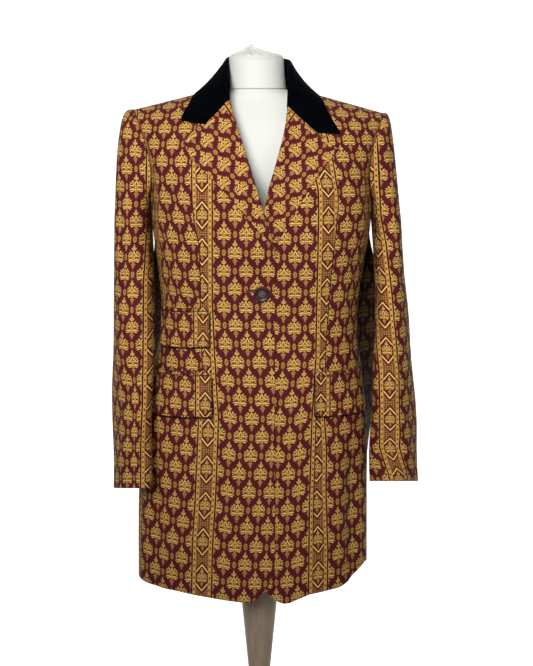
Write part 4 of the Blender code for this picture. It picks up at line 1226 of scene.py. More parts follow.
def ellipse(x, y, centre_x, centre_y, radius_x, radius_y):
    """Distance inside an ellipse: positive in it, negative out of it."""
    tree = x.tree
    joined = tree.nodes.new("ShaderNodeCombineXYZ")
    for slot, number, centre, radius in ((0, x, centre_x, radius_x), (1, y, centre_y, radius_y)):
        scaled = number.math("MULTIPLY_ADD", 1 / radius, -centre / radius)
        tree.links.new(scaled.socket, joined.inputs[slot])
    long = tree.nodes.new("ShaderNodeVectorMath")
    long.operation = "LENGTH"
    tree.links.new(joined.outputs[0], long.inputs[0])
    small = min(radius_x, radius_y)
    return Field(tree, long.outputs["Value"]).math("MULTIPLY_ADD", -small, small)


def stroke(x, y, x0, y0, x1, y1, half0, half1):
    """Distance inside a straight stroke: half its changing width less the way to its middle line."""
    run_x, run_y = x1 - x0, y1 - y0
    square = run_x**2 + run_y**2
    part = y.math("MULTIPLY_ADD", run_y / square, -(x0 * run_x + y0 * run_y) / square)
    part = x.math("MULTIPLY_ADD", run_x / square, part, clamp=True)
    off_x = part.math("MULTIPLY_ADD", -run_x, x - x0)
    off_y = part.math("MULTIPLY_ADD", -run_y, y - y0)
    away = (off_x * off_x + off_y * off_y).math("SQRT")
    return part.math("MULTIPLY_ADD", half1 - half0, half0) - away


def attribute(tree, name):
    """A number that the mesh keeps at each of its points."""
    node = tree.nodes.new("ShaderNodeAttribute")
    node.attribute_name = name
    return Field(tree, node.outputs["Fac"])


def noise(tree, vector, scale, detail=2.0):
    """A noise texture's value."""
    node = tree.nodes.new("ShaderNodeTexNoise")
    node.inputs["Scale"].default_value = scale
    node.inputs["Detail"].default_value = detail
    tree.links.new(vector, node.inputs["Vector"])
    return Field(tree, node.outputs[0])


def bump(tree, shader, height, strength, distance):
    """Lets a height field shade the surface."""
    node = tree.nodes.new("ShaderNodeBump")
    node.inputs["Strength"].default_value = strength
    node.inputs["Distance"].default_value = distance
    tree.links.new(height.socket, node.inputs["Height"])
    tree.links.new(node.outputs["Normal"], shader.inputs["Normal"])


def object_place(tree):
    """The surface's own place in metres."""
    return tree.nodes.new("ShaderNodeTexCoord").outputs["Object"]


def split(tree, vector):
    """The three parts of a vector."""
    node = tree.nodes.new("ShaderNodeSeparateXYZ")
    tree.links.new(vector, node.inputs[0])
    return [Field(tree, socket) for socket in node.outputs]


# The print is drawn in steps, so many to the width of one repeat, upright from a palmette's middle
STEPS = 22.7
SOFT = 0.4
OVAL = (2.0, 3.4)
VEINS = 1.55
VEINED = ("gold", "deep_gold", "light_gold")

# The upright band in the same steps, and the lines round its diamonds: colour, distance out, half width
# and cover
BAND_EVERY = 4
BAND_SCALE = 0.75
EDGE_LINE = 1.5
STRIPE_END = 4.8
DIAMOND_TIP = 13.3
DIAMOND_LEAN = 1.17
CHEVRONS = (("brown", 3.7, 0.5, 0.8), ("dark", 2.0, 1.0, 0.95), ("light_gold", 0.0, 0.85, 1.0))

# Contact shade of the flaps: its colour, and its depth and width in metres
FLAP_SHADE = (0.006, 0.001, 0.002)
SHADE_DEEP = 0.0036
SHADE_WIDE = 0.0026

# Weave: noise scales of the yarn grain and the soft crumples, and how fast the threads follow each other
YARN_GRAIN = 1500.0
CRUMPLES = 60.0
THREADS = 8000.0

# Layers of a palmette: colour, how strongly it covers, the width of its brown rim, and strokes
# from x, y to x, y with both half widths
PALMETTE = (
    ("stalk", 1.0, 0, ((0, -13.2, 0, -8.6, 0.1, 1.75), (1.3, -7.6, 2.6, -7.7, 0.75, 0.4),
                       (0, -8.5, 0, -5, 1.1, 1.1))),
    ("stem", 0.7, 0, ((0, -12.0, 0, -8.8, 0.3, 0.9),)),
    ("dark", 0.8, 0, ((3.0, -6.4, 5.2, -5.9, 0.5, 0.45), (6.4, -1.9, 7.0, -2.2, 0.45, 0.35))),
    ("brown", 0.9, 0, ((2.4, 3.0, 3.6, 4.4, 1.6, 1.2), (3.6, 2.6, 5.4, 2.8, 1.8, 1.3),
                       (4.6, 1.4, 6.0, -1.0, 1.9, 0.9))),
    ("gold", 1.0, 0, ((2.5, 3.6, 4.0, 6.0, 1.4, 0.65), (3.9, 2.7, 6.2, 4.1, 1.35, 0.6),
                      (4.7, 1.2, 6.9, 1.6, 1.2, 0.55), (5.6, 0.8, 6.3, -1.5, 1.0, 0.5))),
    ("light_gold", 0.45, 0, ((3.2, 4.9, 3.8, 5.6, 0.6, 0.4), (5.6, 3.6, 6.2, 3.9, 0.45, 0.3),
                             (6.4, 1.5, 6.8, 1.5, 0.3, 0.2))),
    ("brown", 1.0, 0, ((1.2, 4.9, 3.3, 3.4, 0.3, 0.4), (3.3, 3.4, 4.9, 2.0, 0.4, 0.6),
                       (4.9, 2.0, 5.0, -0.6, 0.6, 0.35))),
    ("brown", 0.6, 0, ((4.3, 3.9, 5.3, 5.4, 0.15, 0.3), (5.8, 2.3, 7.1, 2.8, 0.15, 0.3))),
    ("deep_gold", 1.0, 0, ((0, 3.6, 0, 0.2, 1.0, 2.0), (0, 0.3, 3.2, 0.2, 1.4, 0.9),
                           (0, -1.2, 0, -6.0, 1.5, 1.0))),
    ("gold", 0.8, 0, ((0, 0.5, 3.4, 0.6, 0.6, 0.5), (1.2, -1.4, 0, -2.4, 0.5, 0.5))),
    ("light_gold", 0.95, 0.35, ((0, 6.0, 1.25, 3.2, 0.45, 0.45), (1.25, 3.2, 2.3, 1.8, 0.45, 0.65),
                                (2.3, 1.8, 5.0, 0.4, 0.7, 0.3))),
    ("brown", 0.55, 0, ((2.2, 2.7, 2.9, 1.2, 0.1, 0.25),)),
    ("dark", 1.0, 0, ((0, 3.9, 0, 2.8, 0.35, 0.75), (1.15, 6.3, 1.7, 6.0, 0.5, 0.4))),
    ("brown", 0.9, 0, ((4.6, -0.4, 2.6, -0.7, 0.3, 0.35), (2.6, -0.7, 0.9, -2.0, 0.35, 0.25))),
    ("gold", 1.0, 0.35, ((0.6, -3.2, 4.2, -2.8, 0.7, 0.9), (4.2, -2.8, 7.0, -3.7, 0.9, 0.2),
                         (1.2, -3.8, 5.0, -5.1, 0.6, 0.8))),
    ("light_gold", 0.95, 0, ((0.6, -3.0, 3.4, -2.3, 0.35, 0.5), (3.4, -2.3, 6.9, -3.5, 0.5, 0.2))),
    ("light_gold", 0.7, 0, ((2.8, -4.2, 5.2, -5.0, 0.3, 0.45),)),
    ("brown", 0.9, 0, ((1.4, -3.7, 6.0, -4.3, 0.2, 0.3),)),
    ("olive", 1.0, 0, ((0, 13.4, 0, 9.8, 0.1, 1.45), (1.9, 9.0, 1.2, 8.1, 0.75, 1.1),
                       (0, 9.2, 0, 7.4, 1.5, 0.7))),
    ("light_gold", 0.45, 0, ((0, 10.0, 0, 7.6, 0.4, 0.7), (1.9, 8.8, 1.6, 8.3, 0.35, 0.4))),
    ("brown", 0.6, 0, ((1.0, 10.4, 0.9, 8.6, 0.15, 0.25),)),
)


def print_material(cloth):
    """Half-drop palmettes with ovals between them, and an upright band in place of every fourth column."""
    material, tree, shader = new_material("palmette cloth")
    step = cloth.repeat_wide / STEPS
    wide, high = STEPS, cloth.repeat_high / step
    places = tree.nodes.new("ShaderNodeUVMap")
    places.uv_map = "print"
    out, up, _ = split(tree, places.outputs[0])
    eats, seam_at, lifts = (attribute(tree, name) * (1 / step)
                            for name in ("dart_eats", "dart_at", "dart_lifts"))

    # Past the dart's seam the print is moved on by the cloth that the dart eats
    x0 = out * (1 / step)
    y0 = up * (1 / step)
    past = x0 - seam_at
    seam = (0.65 - past.size()).inside(0.3) * eats.math("GREATER_THAN", 0.7)
    beyond = past.math("GREATER_THAN", 0.0)
    x0 = beyond.math("MULTIPLY_ADD", eats, x0)
    y0 = y0 - beyond * lifts

    # Place in the nearest palmette of the half-drop lattice, mirrored left to right
    xa = x0.wrap(wide / 2).size()
    ya = y0.wrap(high / 2)
    in_a = (0.5 - (xa * (1 / wide) + ya.size() * (1 / high))).math("GREATER_THAN", 0.0)
    yb = ya - ya.math("SIGN") * (high / 2)
    x = in_a.pick(xa, wide / 2 - xa)
    y = in_a.pick(ya, yb)

    # Place in the band
    along = x0.math("WRAP", BAND_EVERY * wide, 0.0)
    in_band = (wide - along).math("GREATER_THAN", 0.0)
    from_edge = along.least(wide - along)
    xb = (along - wide / 2).size()
    x = in_band.pick(xb * (1 / BAND_SCALE), x)
    y = in_band.pick(ya * (1 / BAND_SCALE), y)

    art = Layers(tree, cloth.ground)
    oval_at = ellipse(xa, ya, wide / 2, 0.0, *OVAL).most(ellipse(xa, ya.size(), 0.0, high / 2, *OVAL))
    art.lay(cloth.deep_gold, oval_at.inside(SOFT) * (1.0 - in_band))
    art.lay(cloth.brown, (oval_at - 1.1).inside(0.8) * (1.0 - in_band) * 0.6)
    leaf = stroke(x, y, *PALMETTE[0][3][0])
    for colour, cover, rim, strokes in PALMETTE:
        shape = stroke(x, y, *strokes[0])
        for row in strokes[1:]:
            shape = shape.most(stroke(x, y, *row))
        if colour in VEINED:
            leaf = leaf.most(shape)
        if rim:
            art.lay(cloth.brown, (shape + rim).inside(SOFT) * cover)
        art.lay(getattr(cloth, colour), shape.inside(SOFT) * cover)
    vein = ((x + y) * VEINS).math("COSINE") * ((x - y) * VEINS).math("COSINE")
    art.lay(cloth.brown, (vein - 0.3).inside(0.5) * leaf.inside(SOFT) * 0.5)
    art.lay(cloth.light_gold, (-0.4 - vein).inside(0.5) * leaf.inside(SOFT) * 0.35)
    draw_band(art, cloth, xb, ya, high, from_edge, in_band)
    art.lay(cloth.dark, seam * 0.95)
    art.lay(FLAP_SHADE, flap_shade(tree) * 0.9)

    # Weave: yarn grain in the colour, and crossing threads with soft crumples in the bump
    grain = noise(tree, places.outputs[0], YARN_GRAIN)
    shade = tree.nodes.new("ShaderNodeVectorMath")
    shade.operation = "SCALE"
    tree.links.new(art.last, shade.inputs[0])
    wash = noise(tree, places.outputs[0], CRUMPLES)
    # The arms' painted shade darkens the colour behind the side seams, through the attribute arm_shade
    tone = (grain.math("MULTIPLY_ADD", 0.34, 0.72) + wash * 0.22) * (1.0 - attribute(tree, "arm_shade"))
    tree.links.new(tone.socket, shade.inputs["Scale"])
    set_finish(tree, shader, shade.outputs[0], {"Roughness": 0.85, "Specular IOR Level": 0.12})
    warp = (out * THREADS).math("SINE") * (up * THREADS).math("SINE")
    bump(tree, shader, warp * 0.25 + grain * 0.5 + wash * 3.0, 0.35, 0.0004)
    return material


def flap_shade(tree):
    """The flaps' contact shade on the fronts: a narrow strip below each flap and beside its inner end."""
    x, y, z = split(tree, object_place(tree))
    total = None
    for flap in FLAPS.values():
        slope = (flap["z1"] - flap["z0"]) / (flap["x1"] - flap["x0"])
        above = z - x * slope - (flap["z0"] - slope * flap["x0"] - flap["deep"])
        middle, half = (flap["x0"] + flap["x1"]) / 2, abs(flap["x1"] - flap["x0"]) / 2
        below = (SHADE_DEEP / 2 - (above + SHADE_DEEP / 2).size())
        below = below.least(half + SHADE_DEEP / 2 - (x - middle).size())
        past = (x - middle) * flap["way"] - half
        beside = (SHADE_WIDE / 2 - (past - SHADE_WIDE / 2).size()).least(above + SHADE_DEEP / 2)
        strip_at = below.most(beside.least(flap["deep"] - SHADE_DEEP - above))
        total = strip_at if total is None else total.most(strip_at)
    return total.inside(0.0008) * y.math("LESS_THAN", 0.0)


def draw_band(art, cloth, x, y, high, from_edge, in_band):
    """The upright band: speckled hourglasses, diamonds, chevron lines, dotted stripes and dark edges."""
    outside = y.size() + x * DIAMOND_LEAN - DIAMOND_TIP
    hourglass = outside.inside(SOFT) * in_band
    art.lay(cloth.mauve, hourglass)
    middle = high / 2 - y.size()
    check = ((x + middle) * 1.3).math("COSINE") * ((x - middle) * 1.3).math("COSINE")
    art.lay(cloth.dark, (check - 0.2).inside(0.5) * hourglass * 0.65)
    art.lay(cloth.gold, (-0.3 - check).inside(0.5) * hourglass * 0.55)
    for colour, at, half, cover in CHEVRONS:
        art.lay(getattr(cloth, colour), (half - (outside - at).size()).inside(SOFT) * in_band * cover)
    art.lay(cloth.gold, (STRIPE_END - from_edge).inside(SOFT) * in_band)
    art.lay(cloth.brown, (0.3 - (from_edge - STRIPE_END - 0.1).size()).inside(SOFT) * in_band * 0.7)
    beat = (y * (12 * np.pi / high)).math("COSINE")
    dots = (0.8 - (from_edge - 3.1).size()).least((beat - 0.3) * 1.5)
    art.lay(cloth.brown, dots.inside(SOFT) * in_band)
    art.lay(cloth.dark, (EDGE_LINE - from_edge).inside(SOFT) * in_band)


def reverse_material(cloth):
    """The cloth's wrong side: the ground colour with the print showing through as a soft stain."""
    material, tree, shader = new_material("cloth reverse")
    place = object_place(tree)
    art = Layers(tree, cloth.reverse)
    wear = noise(tree, place, 90.0, 3.0).math("MULTIPLY_ADD", 2.0, -0.9, clamp=True)
    art.lay(cloth.deep_gold, wear * 0.45)
    set_finish(tree, shader, art.last, {"Roughness": 0.85})
    bump(tree, shader, noise(tree, place, YARN_GRAIN), 0.3, 0.0003)
    return material


def velvet_material(trim):
    """Black velvet: almost no base colour, a pile in the bump, and a cool sheen at grazing angles."""
    material, tree, shader = new_material("black velvet")
    place = object_place(tree)
    pile = noise(tree, place, 2600.0)
    nap = noise(tree, place, 38.0, 3.0)
    art = Layers(tree, trim.velvet)
    art.lay(tuple(channel * 2.2 for channel in trim.velvet), nap.math("MULTIPLY_ADD", 2.4, -0.9, clamp=True))
    set_finish(tree, shader, art.last, {
        "Roughness": 0.9, "Specular IOR Level": 0.01, "Sheen Weight": 0.010, "Sheen Roughness": 0.35,
        "Sheen Tint": (0.55, 0.62, 0.85, 1.0)})
    bump(tree, shader, pile + nap * 1.5, 0.4, 0.0005)
    return material


def horn_material(trim):
    """Polished horn: brown with dark mottles, paler towards the centre."""
    material, tree, shader = new_material("brown horn")
    place = object_place(tree)
    share = attribute(tree, "from_middle")
    art = Layers(tree, trim.horn)
    art.lay(trim.horn_dark, (noise(tree, place, 420.0, 3.0) - 0.5).inside(0.12))
    art.lay(trim.horn_pale, (0.36 - share).inside(0.2) * 0.7)
    art.lay(trim.horn_dark, (noise(tree, place, 900.0, 3.0) - 0.58).inside(0.1) * 0.8)
    set_finish(tree, shader, art.last, {"Roughness": 0.35, "Specular IOR Level": 0.3})
    return material


def thread_material(trim):
    """Twisted thread: fine slanting ridges in the bump, with painted light along their crests in the colour.
    """
    material, tree, shader = new_material("thread")
    x, _, z = split(tree, object_place(tree))
    twist = ((x * 2.0 + z) * 9000.0).math("SINE")
    art = Layers(tree, trim.thread)
    # Painted light: a lighter colour along the crests of the twist
    lit = tuple(channel * 2.2 for channel in trim.thread)
    art.lay(lit, twist.math("MULTIPLY_ADD", 0.3, 0.3, clamp=True))
    set_finish(tree, shader, art.last, {"Roughness": 0.6})
    bump(tree, shader, twist, 0.4, 0.0002)
    return material


def jersey_material(form):
    """Cotton jersey: fine upright wales, a seam down the neck's front and one round its foot, and a painted
    shade band on the neck's front above the arc of its rim.
    """
    material, tree, shader = new_material("cotton jersey")
    place = object_place(tree)
    x, y, z = split(tree, place)
    wales = (x * 5200.0).math("SINE") * (z * 3400.0).math("SINE")
    cloudy = noise(tree, place, 14.0, 3.0)
    in_front = y.math("LESS_THAN", 0.0)
    down = (0.0009 - (x - NECK_SEAM).size()).math("MULTIPLY", 2200.0, clamp=True) * in_front
    down = down * z.math("GREATER_THAN", NECK_CAP_LOW)
    round_foot = (0.0010 - (z - NECK_CAP_LOW).size()).math("MULTIPLY", 2000.0, clamp=True)
    seams = down.most(round_foot)
    art = Layers(tree, form.jersey)
    worn = tuple(channel * 0.94 for channel in form.jersey)
    art.lay(worn, cloudy.math("MULTIPLY_ADD", 1.6, -0.5, clamp=True) * 0.5)
    # Painted shade: a soft darker band on the neck's front just above the arc of its rim
    over_rim = z - RIM_LOW - (x + NECK_ASIDE).math("POWER", 2.0) * RIM_CURVE
    shade = over_rim.math("MULTIPLY", 260.0, clamp=True)
    shade = shade * (1.0 - over_rim.math("MULTIPLY", 110.0, clamp=True))
    art.lay(tuple(channel * 0.62 for channel in form.jersey), (seams * 0.15).most(shade * in_front * 0.5))
    set_finish(tree, shader, art.last, {"Roughness": 0.88, "Sheen Weight": 0.1})
    bump(tree, shader, wales * 0.2 - seams * 0.5, 0.35, 0.0004)
    return material


def stand_material(form):
    """Brushed satin paint: streaks along the post and a little wear."""
    material, tree, shader = new_material("stand paint")
    place = object_place(tree)
    mapping = tree.nodes.new("ShaderNodeMapping")
    mapping.inputs["Scale"].default_value = (1.0, 1.0, 0.08)
    tree.links.new(place, mapping.inputs["Vector"])
    streaks = noise(tree, mapping.outputs[0], 160.0, 4.0)
    art = Layers(tree, form.stand)
    art.lay(form.stand_worn, streaks.math("MULTIPLY_ADD", 2.2, -0.75, clamp=True))
    tree.links.new(art.last, shader.inputs["Base Color"])
    rough = streaks.math("MULTIPLY_ADD", 0.3, 0.35)
    tree.links.new(rough.socket, shader.inputs["Roughness"])
    bump(tree, shader, streaks, 0.15, 0.0004)
    return material


def backdrop_material(stage):
    """Plain white paper that glows from behind the stand on, so that it stays even."""
    material, tree, shader = new_material("backdrop paper")
    _, depth, _ = split(tree, object_place(tree))
    glow = depth.math("MULTIPLY_ADD", 1.5, -0.33, clamp=True)
    shader.inputs["Base Color"].default_value = (*stage.backdrop, 1.0)
    shader.inputs["Roughness"].default_value = 0.9
    shader.inputs["Emission Color"].default_value = (1.0, 1.0, 1.0, 1.0)
    tree.links.new(glow.socket, shader.inputs["Emission Strength"])
    return material


def finish_of(name, make, group):
    """A material by name, made from its group of settings the first time it is asked for."""
    return bpy.data.materials.get(name) or make(group)


def cloth_finish():
    """Materials of the right and the wrong side of the printed cloth."""
    cloth = bpy.context.scene.blazer_cloth
    return [finish_of("palmette cloth", print_material, cloth),
            finish_of("cloth reverse", reverse_material, cloth)]


def place_piece(piece, nodes):
    """Lets a piece ride with the part and stand for its solids, which are hidden."""
    if not piece.data.polygons:
        raise RuntimeError(f"{piece.name} has no faces")
    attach(piece, "root")
    if nodes:
        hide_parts(*nodes)
    return piece


def print_piece(node, grid, normal, printed, values=None):
    """A wall of the printed cloth that stands for one node."""
    piece = cloth_wall(f"{node}_cloth", grid, normal, CLOTH, cloth_finish(), printed, values)
    return place_piece(piece, [node])


class BLAZER_OT_fronts(Operator):
    """Make both front panels, right over left, with their darts"""
    bl_idname = "blazer.fronts"
    bl_label = "Fronts"

    def execute(self, context):
        repeat = context.scene.blazer_cloth.repeat_wide
        for word, side, cut in (("right", -1, 0.205), ("left", 1, 0.188)):
            place = front_panel(side, EDGE[side], *CORNER[side])
            grid, normal = body(*place), body_normal(*place)
            out = crease_height(CREASES_FRONT, grid[..., 0], grid[..., 2])
            if side < 0:
                out = out + lap_lift(grid[..., 0], grid[..., 2])
            printed = front_print(grid, side, BAND[side], PRINT_ROW[side], SWAY[side])
            eats, more, lifts = (np.interp(grid[..., 2], DART[side]["height"], DART[side][name])
                                 for name in ("eats", "more", "lifts"))
            seam = np.where(grid[..., 2] > DART_TURNS, repeat - eats, DART_LOW_AT)
            darts = {"dart_eats": eats + more, "dart_at": seam, "dart_lifts": lifts}
            piece = print_piece(f"front_{word}", grid + normal * out[..., None], normal, printed, darts)
        return {"FINISHED"}


class BLAZER_OT_back(Operator):
    """Make the back panel"""
    bl_idname = "blazer.back"
    bl_label = "Back"

    def execute(self, context):
        place = back_panel()
        grid, normal = body(*place), body_normal(*place)
        out = crease_height(CREASES_BACK, grid[..., 0], grid[..., 2])
        repeat = context.scene.blazer_cloth.repeat_wide
        straight = {"height": np.array([0.0, 2.0]), "across": np.array([0.0, 0.0])}
        printed = front_print(grid, -1, straight, PRINT_ROW[-1], 0.0)
        printed[..., 0] += BACK_PRINT_COLUMNS * repeat
        shade = arm_shade(place[0], grid[..., 2])
        piece = print_piece("back", grid + normal * out[..., None], normal, printed, {"arm_shade": shade})
        return {"FINISHED"}


class BLAZER_OT_sleeves(Operator):
    """Make the two-piece sleeves"""
    bl_idname = "blazer.sleeves"
    bl_label = "Sleeves"

    def execute(self, context):
        seam = SEAM_TURN + SLEEVE_SEAM
        halves = (("top", np.linspace(seam, 2 * np.pi - seam, 89), (0.20, 0.605)),
                  ("under", np.linspace(-SEAM_TURN, SEAM_TURN, 41), (0.08, 0.47)))
        head, arm = 36, 92
        for word, side in SIDES:
            for half, sigma, flat in halves:
                grid = sleeve_grid(side, SLEEVE[side], sigma, head, arm)
                normal = -side * grid_normal(grid)
                out = crease_height(CREASES_SLEEVE[side], SLEEVE_ROUND * sigma[:, None], grid[..., 2])
                line = SLEEVE_BAND[side] if half == "top" else None
                printed = sleeve_print(grid, side, sigma, line, head, SLEEVE_STARTS[side])
                piece = print_piece(f"sleeve_{word}_{half}", grid + normal * out[..., None], normal, printed)
        return {"FINISHED"}


class BLAZER_OT_lapels(Operator):
    """Make the notch lapels with their soft roll"""
    bl_idname = "blazer.lapels"
    bl_label = "Lapels"

    def execute(self, context):
        cloth = context.scene.blazer_cloth
        cosine, sine = np.cos(LAPEL_LEAN), np.sin(LAPEL_LEAN)
        for word, side in SIDES:
            (motif_x, motif_z), (narrow, short), columns = LAPEL_PRINT[side]
            grid, normal, x, z = lapel_grid(side, LAPEL[side], NOTCH[side], 71, 41, 9)
            inward = (-side * (x - motif_x) * cosine + (z - motif_z) * sine) / narrow
            upward = (side * (x - motif_x) * sine + (z - motif_z) * cosine) / short
            printed = np.stack([inward - columns * cloth.repeat_wide, upward + cloth.repeat_high / 2],
                               axis=-1)
            piece = print_piece(f"lapel_{word}", grid, normal, printed)
        return {"FINISHED"}


class BLAZER_OT_collar(Operator):
    """Make the velvet collar"""
    bl_idname = "blazer.collar"
    bl_label = "Collar"

    def execute(self, context):
        halves = [collar_half(side, 71, 41, COLLAR_POINT[side], COLLAR_NOTCH[side]) for _, side in SIDES]
        guide = np.concatenate([halves[0], halves[1][::-1][1:]])
        gaps = np.linalg.norm(np.diff(guide, axis=1), axis=-1).mean(axis=0)
        knots = np.concatenate([[0.0], np.cumsum(gaps)])
        stand = [np.linspace(low, high, 6)[:-1] for low, high in zip(knots[:4], knots[1:5])]
        fine = np.concatenate([*stand, knots[4:]])
        grid = smooth(fine, knots, guide.swapaxes(0, 1)).swapaxes(0, 1)
        normal = grid_normal(grid)
        if normal[:, -10:, 2].mean() < 0:
            normal = -normal
        velvet = finish_of("black velvet", velvet_material, context.scene.blazer_trim)
        piece = cloth_wall("collar_velvet", grid, normal, VELVET, [velvet])
        place_piece(piece, ["collar"])
        return {"FINISHED"}


class BLAZER_OT_pockets(Operator):
    """Make the ticket flap, the two main flaps and the welts above them"""
    bl_idname = "blazer.pockets"
    bl_label = "Pockets"

    def execute(self, context):
        repeat_high = context.scene.blazer_cloth.repeat_high
        for word, flap in FLAPS.items():
            pieces = (("flap", (-FLAP_GAP, -flap["deep"], True, 81, 45)),
                      ("welt", (WELT_HIGH, FLAP_GAP, False, 81, 9)))
            for kind, shape in pieces:
                grid, normal = flap_grid(flap, *shape)
                run = row_run(grid, 1.0)
                way = flap["way"]
                sorted_x = grid[..., 0] if flap["x1"] > flap["x0"] else -grid[..., 0]
                out = way * (run - run_at(sorted_x - flap["line"], run))
                up = grid[..., 2] - flap["middle"] + repeat_high / 2
                if kind == "welt":
                    up = up + WELT_SHIFT * repeat_high
                piece = print_piece(f"{kind}_{word}", grid, normal, np.stack([out, up], axis=-1))
                long = float(run[-1].mean())
                tall = flap["deep"] if kind == "flap" else WELT_CUT
                area = long * min(tall, shape[0] - shape[1] + CLOTH)
        return {"FINISHED"}


# Button: its turned profile as shares of its radius and thickness, from the middle of the underside round
# the rim to the middle of the dished face, the row where the face starts, and the depth of its holes
PROFILE_RADIUS = np.array([0.0, 0.80, 0.97, 1.0, 0.95, 0.84, 0.74, 0.62, 0.0])
PROFILE_HEIGHT = np.array([0.0, 0.0, 0.25, 0.55, 0.92, 1.0, 0.90, 0.70, 0.70])
FACE_STARTS = 7
HOLE_DEEP = 0.55
THREAD_RADIUS = 0.00042

# Buttonhole: half width of its bead, and number and height of its stitches
BEAD_HALF = 0.00105
STITCHES = 60
STITCH_RIB = 0.16


class BLAZER_OT_button(Operator):
    """Make the horn button, its thread and its stitched buttonhole"""
    bl_idname = "blazer.button"
    bl_label = "Button"

    def execute(self, context):
        trim = context.scene.blazer_trim
        horn = finish_of("brown horn", horn_material, trim)
        thread = finish_of("thread", thread_material, trim)
        at = np.array(BUTTON_AT)
        seat, axis = front_points(at[:1], at[1:], -1, np.array([BUTTON_GAP]))
        seat, axis = seat[0], axis[0]
        side = unit(np.cross(np.array([0.0, 0.0, 1.0]), axis))
        up = np.cross(axis, side)

        def set_on(x, z, height):
            """Places beside, above and out from the button's seat."""
            return seat + x[..., None] * side + z[..., None] * up + height[..., None] * axis

        # Turned profile, with most rings on the face, where the four holes are
        along = stretches((0.02, 1, FACE_STARTS, FACE_STARTS + 0.98), (8, 40, 44))
        knots = np.arange(len(PROFILE_RADIUS))
        r = np.interp(along, knots, PROFILE_RADIUS)[:, None] * BUTTON_RADIUS
        h = np.interp(along, knots, PROFILE_HEIGHT)[:, None] * BUTTON_THICK
        angle = all_round(96)[None, :]
        x, z = r * np.cos(angle), r * np.sin(angle)
        hole = np.zeros_like(x)
        for turn in np.radians([45, 135, 225, 315]):
            away = np.hypot(x - BUTTON_SPREAD * np.cos(turn), z - BUTTON_SPREAD * np.sin(turn))
            hole = np.maximum(hole, ease((BUTTON_HOLE + 0.0002 - away) / 0.0004))
        deep = hole * (along > FACE_STARTS)[:, None] * HOLE_DEEP * BUTTON_THICK
        rings = set_on(x, z, h - deep)
        share = np.where(deep > 0.0006, 1.0, r / BUTTON_RADIUS)
        button = turned("button_horn", rings, [horn], {"from_middle": share})
        place_piece(button, ["button"])

        # Two short strands of thread across the face, from hole to hole
        part = np.linspace(0, 1, 15)
        face = PROFILE_HEIGHT[-1] * BUTTON_THICK
        for name, row in (("button_thread_high", 1), ("button_thread_low", -1)):
            reach = BUTTON_SPREAD * np.sqrt(0.5)
            rise = face - 0.0012 + 0.0017 * np.sin(np.pi * part) ** 0.5
            path = set_on((2 * part - 1) * reach, np.full(15, row * reach), rise)
            strand = turned(name, tube(path, THREAD_RADIUS, 10), [thread])
            place_piece(strand, [])

        # Buttonhole: a bead of close stitches round a slit, a stadium loop with a ribbed round profile
        loop = all_round(240)[:, None]
        profile = all_round(12)[None, :]
        end_x, end_z = np.cos(loop), np.sin(loop)
        ribs = 1 + STITCH_RIB * np.cos(STITCHES * loop)
        x = BUTTONHOLE_AT[0] + np.tanh(6 * end_x) * (BUTTONHOLE_LONG / 2 - BEAD_HALF)
        x = x + end_x * BEAD_HALF * (1 + np.cos(profile))
        z = BUTTONHOLE_AT[1] + end_z * BEAD_HALF * (1 + ribs * np.cos(profile))
        lift = 0.00006 + 0.0002 * ribs * (1 + np.sin(profile))
        points, _ = front_points(x, z, -1, lift)
        n, m = points.shape[:2]
        at = np.arange(n * m).reshape(n, m)
        at = np.concatenate([at, at[:1]])
        at = np.concatenate([at, at[:, :1]], axis=1)
        quads = np.concatenate([strip(at[k], at[k + 1]) for k in range(n)])
        bead = add_piece("buttonhole_stitches", points.reshape(-1, 3), [quads], [thread])
        place_piece(bead, [])
        return {"FINISHED"}


